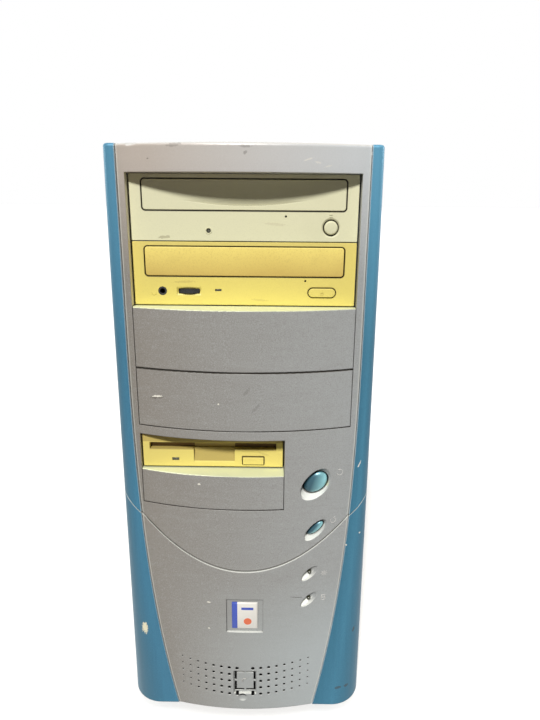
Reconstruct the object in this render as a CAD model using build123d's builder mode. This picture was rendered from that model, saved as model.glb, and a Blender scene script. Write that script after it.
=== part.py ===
from build123d import *
import os
from math import cos, radians, sin, sqrt

os.makedirs("parts", exist_ok=True)

# A tower computer with a bowed front moulding, in millimetres. +Z is up, the front looks towards -Y,
# and the origin is on the floor under the middle of the machine.

# Sheet steel, clearances and plastic walls
SHEET = 1.0              # steel sheet of the chassis
FIT = 0.3                # clearance between pieces that drop in or slide
RUN = 0.05               # radial clearance of a pin that turns in its hole
FASCIA_WALL = 3.0        # front wall of the silver fascia
FASCIA_SIDE_WALL = 2.0   # return walls of the fascia
COLLAR_WALL = 2.0        # collar round a bay opening
TRIM_WALL = 2.5          # blue side trims
SEAM_GAP = 0.5           # gap between the upper and lower front mouldings
OVERCUT = 1.0            # cutters run this far past the faces they open

# Standard pieces that set the size of the chassis
DRIVE_WIDTH = 146.0      # 5.25 inch drive
DRIVE_HEIGHT = 41.0
DRIVE_LENGTH = 170.0     # face of the drive to its back
BAY_PITCH = 42.6
BAY_COUNT = 4
SMALL_WIDTH = 101.6      # 3.5 inch drive
SMALL_HEIGHT = 25.4
SMALL_LENGTH = 140.0
SMALL_PITCH = 27.2
BOARD_HEIGHT = 305.0     # full-size board, standing on its short edge
BOARD_DEPTH = 220.0
BOARD_SHEET = 1.6
SUPPLY_WIDTH = 150.0     # power supply
SUPPLY_HEIGHT = 86.0
SUPPLY_DEPTH = 140.0

# Gaps and flanges round those pieces
FOOT_HEIGHT = 9.0
FLANGE_HEIGHT = 12.0
FLANGE_ROOM = 4.0        # inner pieces to the chassis flanges
LIP_ROOM = 6.0           # chassis flanges to the side panels
PANEL_LIP = 5.0
PANEL_TAB = 10.0
BOARD_RISE = 16.7        # steel floor to the lower edge of the board
BOARD_GAP = 21.0         # back of the drives to the front edge of the board
BOARD_SETBACK = 2.0      # rear edge of the board to the rear wall
SUPPLY_GAP = 9.0         # top edge of the board to the power supply
TOP_DROP = 4.6           # top of the front moulding to the steel top
DRIVE_RECESS = 19.0      # front of the bow to the faces of the 5.25 inch drives
SCREW_HEAD = 6.0

# Planes of the chassis worked out from them
FLOOR_Z = FOOT_HEIGHT
BOARD_Z0 = FLOOR_Z + SHEET + BOARD_RISE
BOARD_Z1 = BOARD_Z0 + BOARD_HEIGHT
SUPPLY_Z0 = BOARD_Z1 + SUPPLY_GAP
SUPPLY_Z1 = SUPPLY_Z0 + SUPPLY_HEIGHT
TOP_Z = SUPPLY_Z1 + FIT + SHEET
HEIGHT = TOP_Z + TOP_DROP
DEPTH = DRIVE_RECESS + DRIVE_LENGTH + BOARD_GAP + BOARD_DEPTH + BOARD_SETBACK + 2 * SHEET + SCREW_HEAD
CAGE_HALF = DRIVE_WIDTH / 2 + FIT + SHEET
FLANGE_HALF = max(SUPPLY_WIDTH / 2, CAGE_HALF) + FLANGE_ROOM + SHEET
SIDE_HALF = FLANGE_HALF + LIP_ROOM + SHEET
WALL_HALF = SIDE_HALF - SHEET - FIT

# Front moulding
BEZEL_BASE = 5.0         # floor to the lower edge of the moulding
BEZEL_DEPTH = 38.0       # front of the bow to the steel front wall
BOW_RADIUS = 245.0       # bow of the face, seen from above
BAY_MARGIN = 1.0         # drive bezel to the edge of its opening
BAY_RIM = 5.0            # opening to the edge of the silver face
HEADER = 17.3            # top of the moulding to the bay opening
BAY_RAIL = 6.6           # rail between the large and the small opening
EDGE_BEND_DROP = 121.6   # top of the moulding to where the edge of the silver face starts to curve in
EDGE_SWELL = 3.0         # how far that curve has gone in two thirds of the way down
EDGE_BASE = 53.8         # half width of the silver face at the lower edge
SEAM_DROP = 299.6        # top of the moulding to the lowest point of the seam
SEAM_SPREAD = 142.0      # the seam climbs by the square of x over this length
UPPER_STEP = 1.2         # upper fascia and blanks behind the lower fascia
TOP_ROUND = 2.0          # rounding of the top edge
TRIM_OVERHANG = 1.0      # trims past the side panels at the top
TRIM_FLARE = 5.0         # how much wider each side is at the foot
TRIM_PROUD = 0.6         # trims stand this far in front of the silver face
TRIM_TOP_CORNER = 4.0
TRIM_BASE_CORNER = 24.0
TRIM_ROOT = 6.0          # width of the trim solid that the silver face cuts away
BEZEL_OVERHANG = 1.0     # drive bezel past the sides of the drive
COLLAR_LAP = 2.0         # collar of a bay opening past the face of the drive

FRONT_Y = -DEPTH / 2
FRAME_Y = FRONT_Y + BEZEL_DEPTH
INNER_FRONT_Y = FRAME_Y + SHEET
REAR_Y = DEPTH / 2 - SCREW_HEAD - SHEET
INNER_REAR_Y = REAR_Y - SHEET
DRIVE_FACE_Y = FRONT_Y + DRIVE_RECESS
BEZEL_WIDTH = DRIVE_WIDTH + 2 * BEZEL_OVERHANG
BAY_HALF = BEZEL_WIDTH / 2 + BAY_MARGIN
BAY_TOP = HEIGHT - HEADER
BAY_BOTTOM = BAY_TOP - BAY_COUNT * BAY_PITCH
SMALL_TOP = BAY_BOTTOM - BAY_RAIL
SMALL_BOTTOM = SMALL_TOP - 2 * SMALL_PITCH
SMALL_X0 = -BAY_HALF
SMALL_X1 = SMALL_X0 + SMALL_WIDTH + 2 * BAY_MARGIN
SMALL_X = (SMALL_X0 + SMALL_X1) / 2
EDGE_TOP = BAY_HALF + BAY_RIM
EDGE_BEND_Z = HEIGHT - EDGE_BEND_DROP
SEAM_Z = HEIGHT - SEAM_DROP
TRIM_TOP_HALF = SIDE_HALF + TRIM_OVERHANG
COLLAR_BACK = DRIVE_FACE_Y + COLLAR_LAP
FAR = 2 * DEPTH          # longer than the machine, for cuts that go right through

# Buttons and lamps on the fascia: each sits in a slanted dish
DISH_TILT = 43.0
POWER_X = 51.3
POWER_DROP = 229.8       # top of the moulding to the middle of the power button
POWER_DISH = (16.5, 10.0)
POWER_FLOOR = (10.8, 8.0)
POWER_CAP = (10.0, 7.2)
RESET_X = 52.0
RESET_DROP = 267.1
RESET_DISH = (12.0, 5.4)
RESET_FLOOR = (8.4, 3.9)
RESET_CAP = (7.7, 3.2)
DISH_DEPTH = 5.0
DISH_FLOOR = 2.5         # wall left under a dish
POWER_DISH_SHIFT = (2.9, 0.9)   # rim of a dish against its button, because the face falls away there
RESET_DISH_SHIFT = (1.5, 0.5)
BUTTON_GAP = 0.6         # button cap to the edge of its hole
BOSS_WALL = 2.5          # wall round a dish
CAP_RISE = 2.6           # button cap above the floor of its dish
LAMP_X = 48.7
LAMP_DROPS = (3.7, 26.9)  # lowest point of the seam down to each lamp
LAMP_LEAF = (9.6, 3.5)
LAMP_RADIUS = 1.5
LAMP_LENGTH = 8.0
SWITCH_SIZE = 12.0
SWITCH_DEPTH = 12.0
STEM_RADIUS = 2.0
FLANGE_STEP = 1.4        # button flange past its hole
FLANGE_SHEET = 1.6
POWER_TRAVEL = 2.0
POWER_Z = HEIGHT - POWER_DROP
RESET_Z = HEIGHT - RESET_DROP
LAMP_ZS = [SEAM_Z - drop for drop in LAMP_DROPS]

# Badge, knock-out, vent holes and clips of the fascia
BADGE_HALF = 14.0
BADGE_RECESS = (79.2, 108.8)
BADGE_DEPTH = 1.8
BADGE_PLATE = (19.5, 23.5)
BADGE_SHEET = 0.8
KNOCKOUT_HALF = (9.0, 11.0)
KNOCKOUT_PLATE = (6.7, 8.0)
KNOCKOUT_SLOT = 1.6      # slots round the plate
KNOCKOUT_Z = 31.3
KNOCKOUT_DEPTH = 2.2
KNOCKOUT_TAB = 1.6
THUMB_DENT = (-2.0, 16.8, 6.0, 1.3)  # dent under the knock-out: x, z, radius of its ball, depth
PAD_DEPTH = 5.5          # thickened wall behind the badge and the knock-out
VENT_PITCH = 6.2
VENT_ROWS = 5
VENT_COLUMNS = 8
VENT_ROW_PITCH = 6.35
VENT_TOP_Z = 44.8
VENT_CLIMB = 360.0       # the rows climb by the square of x over this length
VENT_RADII = (1.4, 0.6)  # next to the middle, and at the far end
CLIP_SIZE = (1.6, 9.0, 9.0)
CLIP_ROOM = 0.4
UPPER_CLIP_ZS = [BAY_TOP - BAY_PITCH / 2, BAY_BOTTOM + BAY_PITCH / 2, SMALL_BOTTOM + SMALL_PITCH]
LOWER_CLIP_ZS = [BADGE_RECESS[0], KNOCKOUT_Z]

# Bay blanks
BLANK_WALL = 2.5
BLANK_LEG = (1.8, 9.0, 6.6)  # thickness, length behind the plate, distance from its edges
BLANK_ROUND = 0.6
BLANK_SHELF = 2.0        # wall along the top of a blank, back to the faces of the drives
BLANK_HALF = BAY_HALF - FIT
BLANK_SPLIT = BAY_BOTTOM + BAY_PITCH

# Power and reset buttons
CAP_ROUND = 2.4
ROUND_SHARE = 0.8        # of the tightest curve of a cap's outline, at most
STEM_REACH = 6.0         # stem inside its switch
SWITCH_Y = FRAME_Y - SWITCH_DEPTH

# Optical drives
BEZEL_HEIGHT = BAY_PITCH - 2 * FIT
BEZEL_SHEET = 6.0
CASE_WALL = 1.2
DOOR_WIDTH = 132.0
DOOR_HEIGHT = 19.2
DOOR_RISE = 8.1          # middle of the bay up to the middle of the door
DOOR_ROUND = 2.0
DOOR_SHEET = 5.0
DOOR_GAP = 0.6
EJECT_GAP = 0.5          # eject button to the edge of its hole
TRAY_WIDTH = 128.0
TRAY_HEIGHT = 9.0
TRAY_LENGTH = 152.0
TRAY_RAIL = (10.0, 3.0)  # rails that the tray runs on: reach from the wall, thickness
DISC_RADIUS = 60.5
DISC_WELL = 2.6
TRAY_RIM = 2.5           # front of the tray to its well
SMALL_DISC_RADIUS = 41.0
SMALL_DISC_WELL = 1.4
TRAY_SLOT = (32.0, 70.0)
CONTROL_DROP = 12.1      # middle of the bay down to the row of controls
EJECT_PROUD = 1.2
PIN_HOLE = 0.7           # radius of the emergency release hole
CD_Z = BAY_TOP - BAY_PITCH / 2
DVD_Z = CD_Z - BAY_PITCH
CASE_Y0 = DRIVE_FACE_Y + BEZEL_SHEET
CASE_Y1 = DRIVE_FACE_Y + DRIVE_LENGTH
DRIVE_SCREW_SETBACKS = (30.0, 110.0)  # steel front wall to the screws
DRIVE_SCREW_YS = [INNER_FRONT_Y + setback for setback in DRIVE_SCREW_SETBACKS]
DRIVE_SCREW_DROP = 10.0
DRIVE_SCREW_RADIUS = 1.45
DRIVE_SCREW_HEAD = (3.0, 2.0)

# Face of the CD writer
CD_EJECT_X = 56.6
CD_EJECT_RADIUS = 4.5
CD_EJECT_DISH = 6.0
CD_LAMP = (-23.3, -14.5)
CD_LAMP_RADIUS = 1.4
CD_RELEASE = (27.2, -5.1)
CREASE_HALF = 42.0       # curved crease across the tray door
CREASE_RISE = 3.6
CREASE_DEPTH = 0.7
CREASE_BASE = 1.3        # lowest point of the crease above the middle of the bay
DISH_SHALLOW = 0.8
EJECT_FLANGE = 1.2       # flange of an eject button past its hole
EJECT_BACK = 3.0         # eject button behind the bezel

# Face of the DVD reader
JACK_X = -55.2
JACK_DROP = 11.7
JACK_RADIUS = 2.9
JACK_BORE = 1.8
JACK_BODY = (9.0, 10.0)  # square body behind the bezel: size and length
JACK_BORE_LENGTH = 14.0
WHEEL_X = -37.3
WHEEL_DROP = 11.75
WHEEL_RADIUS = 12.0
WHEEL_SHEET = 3.0
WHEEL_PROUD = 1.2
WHEEL_POST = 1.5
WHEEL_SCOOP = (8.2, 5.0, 0.9)  # scoop round the wheel: half length, radius, depth
DVD_LAMP = (-17.6, -10.9)
DVD_LAMP_SIZE = (4.2, 1.4)
DVD_RELEASE = (40.8, -4.3)
DVD_EJECT_X = 52.0
DVD_EJECT_SIZE = (18.0, 5.9)
WHEEL_Z = DVD_Z - WHEEL_DROP
WHEEL_Y = DRIVE_FACE_Y - WHEEL_PROUD + WHEEL_RADIUS
JACK_Z = DVD_Z - JACK_DROP

# Floppy drive
FLOPPY_RECESS = 15.3     # front of the bow to the face of the floppy drive
FLOPPY_SHEET = 4.5
FLOPPY_WALL = 1.0
FLOPPY_LIFT = 0.5        # bezel above the floor of its bay
SLOT_WIDTH = 91.6
SLOT_HEIGHT = 5.0
SLOT_RISE = 13.9         # lower edge of the bezel to the lower edge of the slot
NOTCH = (-37.1, -7.5)
NOTCH_DROP = 10.6        # slot down to the lower edge of the notch
FLOPPY_LAMP = (-50.4, 5.9)
FLOPPY_LAMP_SIZE = (5.0, 2.1)
FLOPPY_EJECT = (6.0, 5.2)
FLOPPY_EJECT_SIZE = (15.2, 5.8)
FLOPPY_TRAVEL = 4.5
SHUTTER_SHEET = 0.8
SHUTTER_PIN = 0.7
EAR = (2.0, 3.0)         # ears that hold the shutter: thickness, size
FLOPPY_FACE_Y = FRONT_Y + FLOPPY_RECESS
FLOPPY_Y0 = FLOPPY_FACE_Y + FLOPPY_SHEET
FLOPPY_Z0 = SMALL_TOP - SMALL_PITCH + FLOPPY_LIFT
SLOT_Z0 = FLOPPY_Z0 + SLOT_RISE
SLOT_Z1 = SLOT_Z0 + SLOT_HEIGHT
HINGE_Z = SLOT_Z1 + SHUTTER_PIN + FIT
HINGE_Y = FLOPPY_Y0 + SHUTTER_PIN + FIT
SHUTTER_HALF = SLOT_WIDTH / 2 + FIT
FLOPPY_SCREW_SETBACKS = (30.0, 90.0)
FLOPPY_SCREW_YS = [INNER_FRONT_Y + setback for setback in FLOPPY_SCREW_SETBACKS]
FLOPPY_SCREW_RISE = 8.0

# Feet, and the planes inside the floor and the top
FOOT_RADIUS = 12.0
FOOT_TAPER = 2.0
FOOT_INSET = (22.0, 30.0)
FLOOR_TOP = FLOOR_Z + SHEET
TOP_UNDER = TOP_Z - SHEET

# Air holes of the front wall
AIR_HOLE = 2.4
AIR_PITCH = 8.0
AIR_COUNT = (11, 9)
AIR_Z = 75.0

# Drive cages
CAGE_DEPTH = 135.0
SMALL_CAGE_BAYS = 2      # free 3.5 inch places under the small opening
SMALL_CAGE_X0 = SMALL_X - SMALL_WIDTH / 2 - FIT - SHEET
SMALL_CAGE_X1 = SMALL_X + SMALL_WIDTH / 2 + FIT + SHEET
SMALL_CAGE_Z0 = SMALL_BOTTOM - SMALL_CAGE_BAYS * SMALL_PITCH
SHELF_Z = BAY_BOTTOM - SHEET
HARD_Z0 = SMALL_BOTTOM - SMALL_PITCH
HARD_SCREW_RISE = 8.0
SCREW_HOLE = DRIVE_SCREW_RADIUS + FIT

# Hard drive
HARD_LENGTH = 146.0
HARD_SETBACK = 6.0       # hard drive behind the steel front wall
HARD_LID = (4.0, 2.0)    # slope round the lid: width, depth
HARD_SCREW_DEPTH = 6.0

# Board, standoffs, sockets and memory
STANDOFF = 5.0
STANDOFF_RADIUS = 3.0
BOARD_SCREW = 1.6
BOARD_SCREW_HEAD = (3.2, 2.0)
BOARD_INSET = 8.0        # edge of the board to its screws
MIDDLE_STANDOFF = 92.0   # front edge of the board to the middle row of standoffs
PORT_DEPTH = 18.0
TRAY_X0 = FLANGE_HALF - SHEET
BOARD_X1 = TRAY_X0 - STANDOFF
BOARD_X0 = BOARD_X1 - BOARD_SHEET
BOARD_Y1 = INNER_REAR_Y - BOARD_SETBACK
BOARD_Y0 = BOARD_Y1 - BOARD_DEPTH
STANDOFF_YS = (BOARD_Y0 + BOARD_INSET, BOARD_Y0 + MIDDLE_STANDOFF, BOARD_Y1 - PORT_DEPTH - BOARD_INSET)
STANDOFF_ZS = (BOARD_Z0 + BOARD_INSET, BOARD_Z0 + BOARD_HEIGHT / 2, BOARD_Z1 - BOARD_INSET)
SLOT_PITCH = 20.32
SLOT_COUNT = 7
SLOT_FIRST = 12.2        # port opening down to the middle of the first slot
PORT_HEIGHT = 158.8
PORT_WIDTH = 44.4
PORT_TOP_DROP = 7.0      # top edge of the board to the top of the port opening
PORT_Z1 = BOARD_Z1 - PORT_TOP_DROP
PORT_Z0 = PORT_Z1 - PORT_HEIGHT
SLOT_Z = [PORT_Z0 - SLOT_FIRST - SLOT_PITCH * i for i in range(SLOT_COUNT)]
CARD_SOCKET = (8.5, 85.0, 11.0)
CARD_SOCKET_SETBACK = 50.0
CARD_SOCKETS = 6
CARD_GROOVE = (1.9, 7.0)
CPU_SOCKET = (50.0, 4.0)
CPU_SETBACK = 95.0       # rear edge of the board to the middle of the processor
CPU_DROP = 85.0          # top edge of the board to it
CPU_Y = BOARD_Y1 - CPU_SETBACK
CPU_Z = BOARD_Z1 - CPU_DROP
MEMORY_SOCKET = (7.0, 140.0, 8.0)
MEMORY_GROOVE = (1.7, 6.0)
MEMORY_SETBACKS = (22.0, 34.0)  # front edge of the board to the sockets
MEMORY_DROP = 95.0       # top edge of the board to their middle
MEMORY_YS = [BOARD_Y0 + setback for setback in MEMORY_SETBACKS]
MEMORY_Z = BOARD_Z1 - MEMORY_DROP
MEMORY_MODULE = (1.3, 133.0, 30.0)
MEMORY_CHIP = (0.9, 12.0, 18.0)
MEMORY_CHIPS = 8
MEMORY_CHIP_GAP = 2.6    # socket to the chips
SOCKET_END = 1.0         # wall at the ends of a socket's groove
TRAY_MARGIN = 4.0        # board tray past the top edge of the board

# Rear ports, one row each: kind, lower edge above the lower edge of the port opening, height,
# distance off the board, and reach away from it
PORTS = (
    ("stacked round", 143.0, 14.0, 0.0, 27.0),
    ("stacked flat", 124.0, 14.5, 0.0, 16.0),
    ("long shell", 64.0, 53.0, 19.0, 12.5),
    ("short shell", 86.5, 31.0, 1.5, 12.5),
    ("short shell", 47.0, 31.0, 1.5, 12.5),
    ("network", 27.0, 16.0, 0.0, 30.0),
    ("sound", 4.0, 14.0, 0.0, 36.0),
)
PORT_PROUD = 1.5         # ports past the rear wall
SHIELD_SHEET = 0.6
PORT_LAP = 2.5           # port opening past the face of the board
PORT_X1 = BOARD_X0 + PORT_LAP
PORT_X0 = PORT_X1 - PORT_WIDTH
SOCKET_RADIUS = 4.2
SOCKET_DEPTH = 8.0
FLAT_SOCKET = (12.2, 5.2)
NET_SOCKET = (11.8, 8.4)
SOUND_BORE = 1.8
SOUND_PITCH = 12.0
SHELL_RIM = 1.6
PORT_FACE_Y = REAR_Y + PORT_PROUD

# Expansion slots and graphics card
SLOT_OPENING = (13.0, 98.0)
SLOT_STEP = 4.0          # face of the board to the end of a slot bracket
SLOT_RIM = 2.5           # end of the bracket to the slot
SLOT_X1 = BOARD_X0 - SLOT_STEP
COVER_WIDTH = 18.4
COVER_LENGTH = 114.0
COVER_SHEET = 0.9
COVER_SCREW = (3.0, 1.8)
CARD_LENGTH = 168.0
CARD_HEIGHT = 96.0
CARD_SHEET = 1.6
VIDEO_PORT = (16.0, 31.0, 6.0)
VIDEO_PORT_SHIFT = 36.0  # end of the bracket to the video port
VIDEO_PORT_X = SLOT_X1 - VIDEO_PORT_SHIFT
CARD_SINK = (34.0, 10.0)
CARD_Z = SLOT_Z[0]
COVER_Y0 = INNER_REAR_Y - COVER_SHEET

# Fans
FAN_SEAT = 3.0
FAN_SPOKE = 4.0
FAN_PIN = 1.5
FAN_TIP_GAP = 1.5
FAN_BLADES = 7
FAN_BLADE_SHEET = 1.6
FAN_BLADE_PITCH = 38.0
FAN_BLADE_FILL = 0.8     # share of the hub's length that a blade sweeps
FAN_BLADE_ROOT = 1.0     # blade sunk into the hub
FAN_WALL = 2.0           # frame left outside the bore at the middle of a side

# Processor cooler
SINK_SIZE = 70.0
SINK_BASE = 7.0
SINK_FINS = 30.0
FIN_COUNT = 14
FIN_SHEET = 1.6
CPU_FAN_DEPTH = 20.0
CPU_HUB = 15.0
SINK_X1 = BOARD_X0 - CPU_SOCKET[1]
SINK_X0 = SINK_X1 - SINK_BASE - SINK_FINS

# Power supply, mains inlet and rocker switch
SUPPLY_WALL = 1.2
SUPPLY_FAN = 80.0
SUPPLY_FAN_DEPTH = 25.0
SUPPLY_HUB = 17.0
SUPPLY_FAN_X = 28.0
GRILLE_RADII = (12.0, 18.0, 24.0, 30.0, 36.0)
GRILLE_SLOT = 4.0
GRILLE_SPOKE = 4.0
INLET_X = -48.0
INLET_OPENING = (27.0, 19.0)
INLET_FLANGE = (31.0, 23.5, 2.0)
INLET_DEPTH = 16.0
INLET_RECESS = (24.0, 15.8, 13.0)
INLET_PIN = (2.0, 4.0, 10.0)
INLET_PIN_SPREAD = 7.0
INLET_PIN_STAGGER = 2.0
INLET_RISE = 18.0        # inlet above the middle of the power supply
ROCKER_DROP = 14.0       # rocker switch below it
ROCKER_OPENING = (20.0, 13.0)
ROCKER_FRAME = (24.0, 17.0, 2.0)
ROCKER_RADIUS = 8.2
ROCKER_WIDTH = 10.4
ROCKER_TILT = 8.0
ROCKER_PIN = 1.2
ROCKER_SINK = 4.0        # pivot behind the face of the power supply
SUPPLY_Z = (SUPPLY_Z0 + SUPPLY_Z1) / 2
SUPPLY_Y0 = INNER_REAR_Y - SUPPLY_DEPTH
INLET_Z = SUPPLY_Z + INLET_RISE
ROCKER_Z = SUPPLY_Z - ROCKER_DROP
VENT_SLOT = (3.0, 40.0)
VENT_SLOT_PITCH = 9.0
VENT_SLOT_COUNT = 12
SUPPLY_FAN_Y = INNER_REAR_Y - SUPPLY_WALL - SUPPLY_FAN_DEPTH / 2
ROCKER_PIVOT_Y = INNER_REAR_Y - ROCKER_SINK

# Rear wall and panel screws
PANEL_SCREW_INSET = 70.0  # lower and upper edge of the panel to its screws
PANEL_SCREW_ZS = (FLOOR_Z + PANEL_SCREW_INSET, TOP_Z - PANEL_SCREW_INSET)
PANEL_SCREW_RADIUS = 1.75
PANEL_SCREW_HEAD = 4.0
PANEL_SCREW_REACH = 4.0  # past the inside of the rear wall
PANEL_SCREW_X = SIDE_HALF - SHEET - PANEL_SCREW_HEAD + FIT
REAR_AIR_X = -35.0
REAR_AIR_PITCH = 7.0
REAR_AIR_RADIUS = 2.5
REAR_AIR_REACH = 38.0
SUPPLY_MARGIN = (6.0, 3.0)  # steel left round the power supply: at its sides, above and below

# Side panels
PANEL_GAP = 0.5
LIP_SETBACK = 12.0
TAB_MARGIN = 25.0


def keep(piece, node):
    """Label a finished piece and write it as its own file."""
    piece.label = node
    export_step(piece, f"parts/{node}.step")


def slab(x0, x1, y0, y1, z0, z1, mode=Mode.ADD):
    """A box between two planes on each axis."""
    with Locations(((x0 + x1) / 2, (y0 + y1) / 2, (z0 + z1) / 2)):
        Box(x1 - x0, y1 - y0, z1 - z0, mode=mode)


def rod_x(y, z, radius, x0, x1, mode=Mode.ADD):
    """A cylinder along X."""
    with Locations(Location(((x0 + x1) / 2, y, z), (0, 90, 0))):
        Cylinder(radius, abs(x1 - x0), mode=mode)


def rod_y(x, z, radius, y0, y1, mode=Mode.ADD):
    """A cylinder along Y."""
    with Locations(Location((x, (y0 + y1) / 2, z), (90, 0, 0))):
        Cylinder(radius, abs(y1 - y0), mode=mode)


def rod_z(x, y, radius, z0, z1, mode=Mode.ADD):
    """A cylinder along Z."""
    with Locations((x, y, (z0 + z1) / 2)):
        Cylinder(radius, abs(z1 - z0), mode=mode)


def front_plane(y):
    """The upright plane at depth y that looks to the front, with X and Z as its axes."""
    return Plane.XZ.offset(-y)


def bow_y(x, inset=0.0):
    """Depth of the bowed face at x, or of a face that lies inset behind it."""
    return FRONT_Y + BOW_RADIUS - sqrt((BOW_RADIUS - inset) ** 2 - x**2)


def bowed_block(x0, x1, z0, z1, inset, back):
    """Solid from the bowed face, set back by inset, to the plane y = back."""
    middle = (x0 + x1) / 2
    with BuildPart() as block:
        with BuildSketch(Plane.XY.offset(z0)):
            with BuildLine():
                ThreePointArc(
                    (x0, bow_y(x0, inset)), (middle, bow_y(middle, inset)), (x1, bow_y(x1, inset))
                )
                Polyline((x1, bow_y(x1, inset)), (x1, back), (x0, back), (x0, bow_y(x0, inset)))
            make_face()
        extrude(amount=z1 - z0)
    return block.part


def edge_x(z):
    """Half width of the silver face at height z."""
    part_way = max(0.0, (EDGE_BEND_Z - z) / (EDGE_BEND_Z - BEZEL_BASE))
    early = 3 * EDGE_SWELL * part_way**2 * (1 - part_way)
    return EDGE_TOP - early - (EDGE_TOP - EDGE_BASE) * part_way**3


def face_prism(grow):
    """The outline of the silver face seen from the front, grown sideways and run through in Y."""
    third = (EDGE_BEND_Z - BEZEL_BASE) / 3
    with BuildPart() as prism:
        with BuildSketch(front_plane(FAR / 2)):
            with BuildLine():
                Polyline(
                    (0, BEZEL_BASE), (0, HEIGHT), (EDGE_TOP + grow, HEIGHT), (EDGE_TOP + grow, EDGE_BEND_Z)
                )
                Bezier(
                    (EDGE_TOP + grow, EDGE_BEND_Z),
                    (EDGE_TOP + grow, EDGE_BEND_Z - third),
                    (EDGE_TOP - EDGE_SWELL + grow, EDGE_BEND_Z - 2 * third),
                    (EDGE_BASE + grow, BEZEL_BASE),
                )
                Line((EDGE_BASE + grow, BEZEL_BASE), (0, BEZEL_BASE))
            make_face()
            mirror(about=Plane.YZ)
        extrude(amount=FAR)
    return prism.part


def seam_prism(above):
    """All that lies above the seam, or below it, less half the gap."""
    reach = 2 * SIDE_HALF
    climb = reach**2 / SEAM_SPREAD
    low = SEAM_Z + (SEAM_GAP / 2 if above else -SEAM_GAP / 2)
    far_z = low + climb + HEIGHT if above else low - climb - HEIGHT
    with BuildPart() as prism:
        with BuildSketch(front_plane(FAR / 2)):
            with BuildLine():
                Bezier((-reach, low + climb), (0, low - climb), (reach, low + climb))
                Polyline((reach, low + climb), (reach, far_z), (-reach, far_z), (-reach, low + climb))
            make_face()
        extrude(amount=FAR)
    return prism.part


ABOVE_SEAM = seam_prism(True)
BELOW_SEAM = seam_prism(False)


def dish_floor_y(x):
    """Depth of the floor of a dish whose middle is at x."""
    return bow_y(x) + DISH_DEPTH


def ellipse_prism(x, z, semi, y0, y1):
    """A slanted ellipse seen from the front, run from y0 to y1."""
    with BuildPart() as prism:
        with BuildSketch(front_plane(y1)):
            with Locations((x, z)):
                Ellipse(semi[0], semi[1], rotation=DISH_TILT)
        extrude(amount=y1 - y0)
    return prism.part


def dish_cutter(x, z, rim, floor, shift):
    """A slanted elliptical dish whose rim has its stated size, and is shifted, where it meets the bowed face."""
    reach = 2 * DISH_DEPTH
    grow = (reach + DISH_DEPTH) / DISH_DEPTH
    wide = [floor[i] + (rim[i] - floor[i]) * grow for i in range(2)]
    with BuildPart() as cutter:
        with BuildSketch(front_plane(bow_y(x) - reach)):
            with Locations((x + shift[0] * grow, z + shift[1] * grow)):
                Ellipse(wide[0], wide[1], rotation=DISH_TILT)
        with BuildSketch(front_plane(dish_floor_y(x))):
            with Locations((x, z)):
                Ellipse(floor[0], floor[1], rotation=DISH_TILT)
        loft()
    return cutter.part


def leaf_cutter(x, z):
    """A leaf-shaped scoop: a disc-edged lens, pointed at both ends, sunk into the face."""
    half, width = LAMP_LEAF
    radius = (half**2 + width**2) / (2 * width)
    scoop_plane = Plane(
        origin=(x, bow_y(x), z),
        x_dir=(cos(radians(DISH_TILT)), 0, sin(radians(DISH_TILT))),
        z_dir=(0, -1, 0),
    )
    with BuildPart() as cutter:
        with BuildSketch(scoop_plane) as leaf:
            with BuildLine():
                ThreePointArc((-half, 0), (0, width), (half, 0))
                Line((half, 0), (-half, 0))
            make_face()
        revolve(axis=Axis((x, bow_y(x), z), scoop_plane.x_dir))
    return cutter.part


# Silver fascia: a bowed shell with return walls, made whole and then parted at the seam
with BuildPart() as fascia_hollow:
    hollow_base = BEZEL_BASE + FASCIA_WALL
    hollow_top = HEIGHT - FASCIA_WALL
    add(bowed_block(-EDGE_TOP, EDGE_TOP, hollow_base, hollow_top, FASCIA_WALL, FRAME_Y + OVERCUT))
    add(face_prism(-FASCIA_SIDE_WALL), mode=Mode.INTERSECT)
    slab(
        -BAY_HALF - COLLAR_WALL, BAY_HALF + COLLAR_WALL, FRONT_Y, COLLAR_BACK,
        BAY_BOTTOM - COLLAR_WALL, BAY_TOP + COLLAR_WALL, mode=Mode.SUBTRACT,
    )
    slab(
        SMALL_X0 - COLLAR_WALL, SMALL_X1 + COLLAR_WALL, FRONT_Y, COLLAR_BACK,
        SMALL_BOTTOM - COLLAR_WALL, SMALL_TOP + COLLAR_WALL, mode=Mode.SUBTRACT,
    )
    for x, z, rim, shift in (
        (POWER_X, POWER_Z, POWER_DISH, POWER_DISH_SHIFT),
        (RESET_X, RESET_Z, RESET_DISH, RESET_DISH_SHIFT),
    ):
        boss = (rim[0] + BOSS_WALL, rim[1] + BOSS_WALL)
        boss_end = dish_floor_y(x) + DISH_FLOOR
        add(ellipse_prism(x + shift[0], z + shift[1], boss, FRONT_Y, boss_end), mode=Mode.SUBTRACT)
    for lamp_z in LAMP_ZS:
        boss = (LAMP_LEAF[0] + BOSS_WALL, LAMP_LEAF[1] + BOSS_WALL)
        add(ellipse_prism(LAMP_X, lamp_z, boss, FRONT_Y, bow_y(LAMP_X) + PAD_DEPTH), mode=Mode.SUBTRACT)
    slab(
        -BADGE_HALF - BOSS_WALL, BADGE_HALF + BOSS_WALL, FRONT_Y, FRONT_Y + PAD_DEPTH,
        BEZEL_BASE, BADGE_RECESS[1] + BOSS_WALL, mode=Mode.SUBTRACT,
    )

with BuildPart() as fascia_shell:
    add(bowed_block(-EDGE_TOP, EDGE_TOP, BEZEL_BASE, HEIGHT, 0, FRAME_Y))
    add(face_prism(0), mode=Mode.INTERSECT)
    add(fascia_hollow.part, mode=Mode.SUBTRACT)


def clip_x(z):
    """Middle of the fascia's return wall at height z."""
    return edge_x(z) - FASCIA_SIDE_WALL / 2


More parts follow.
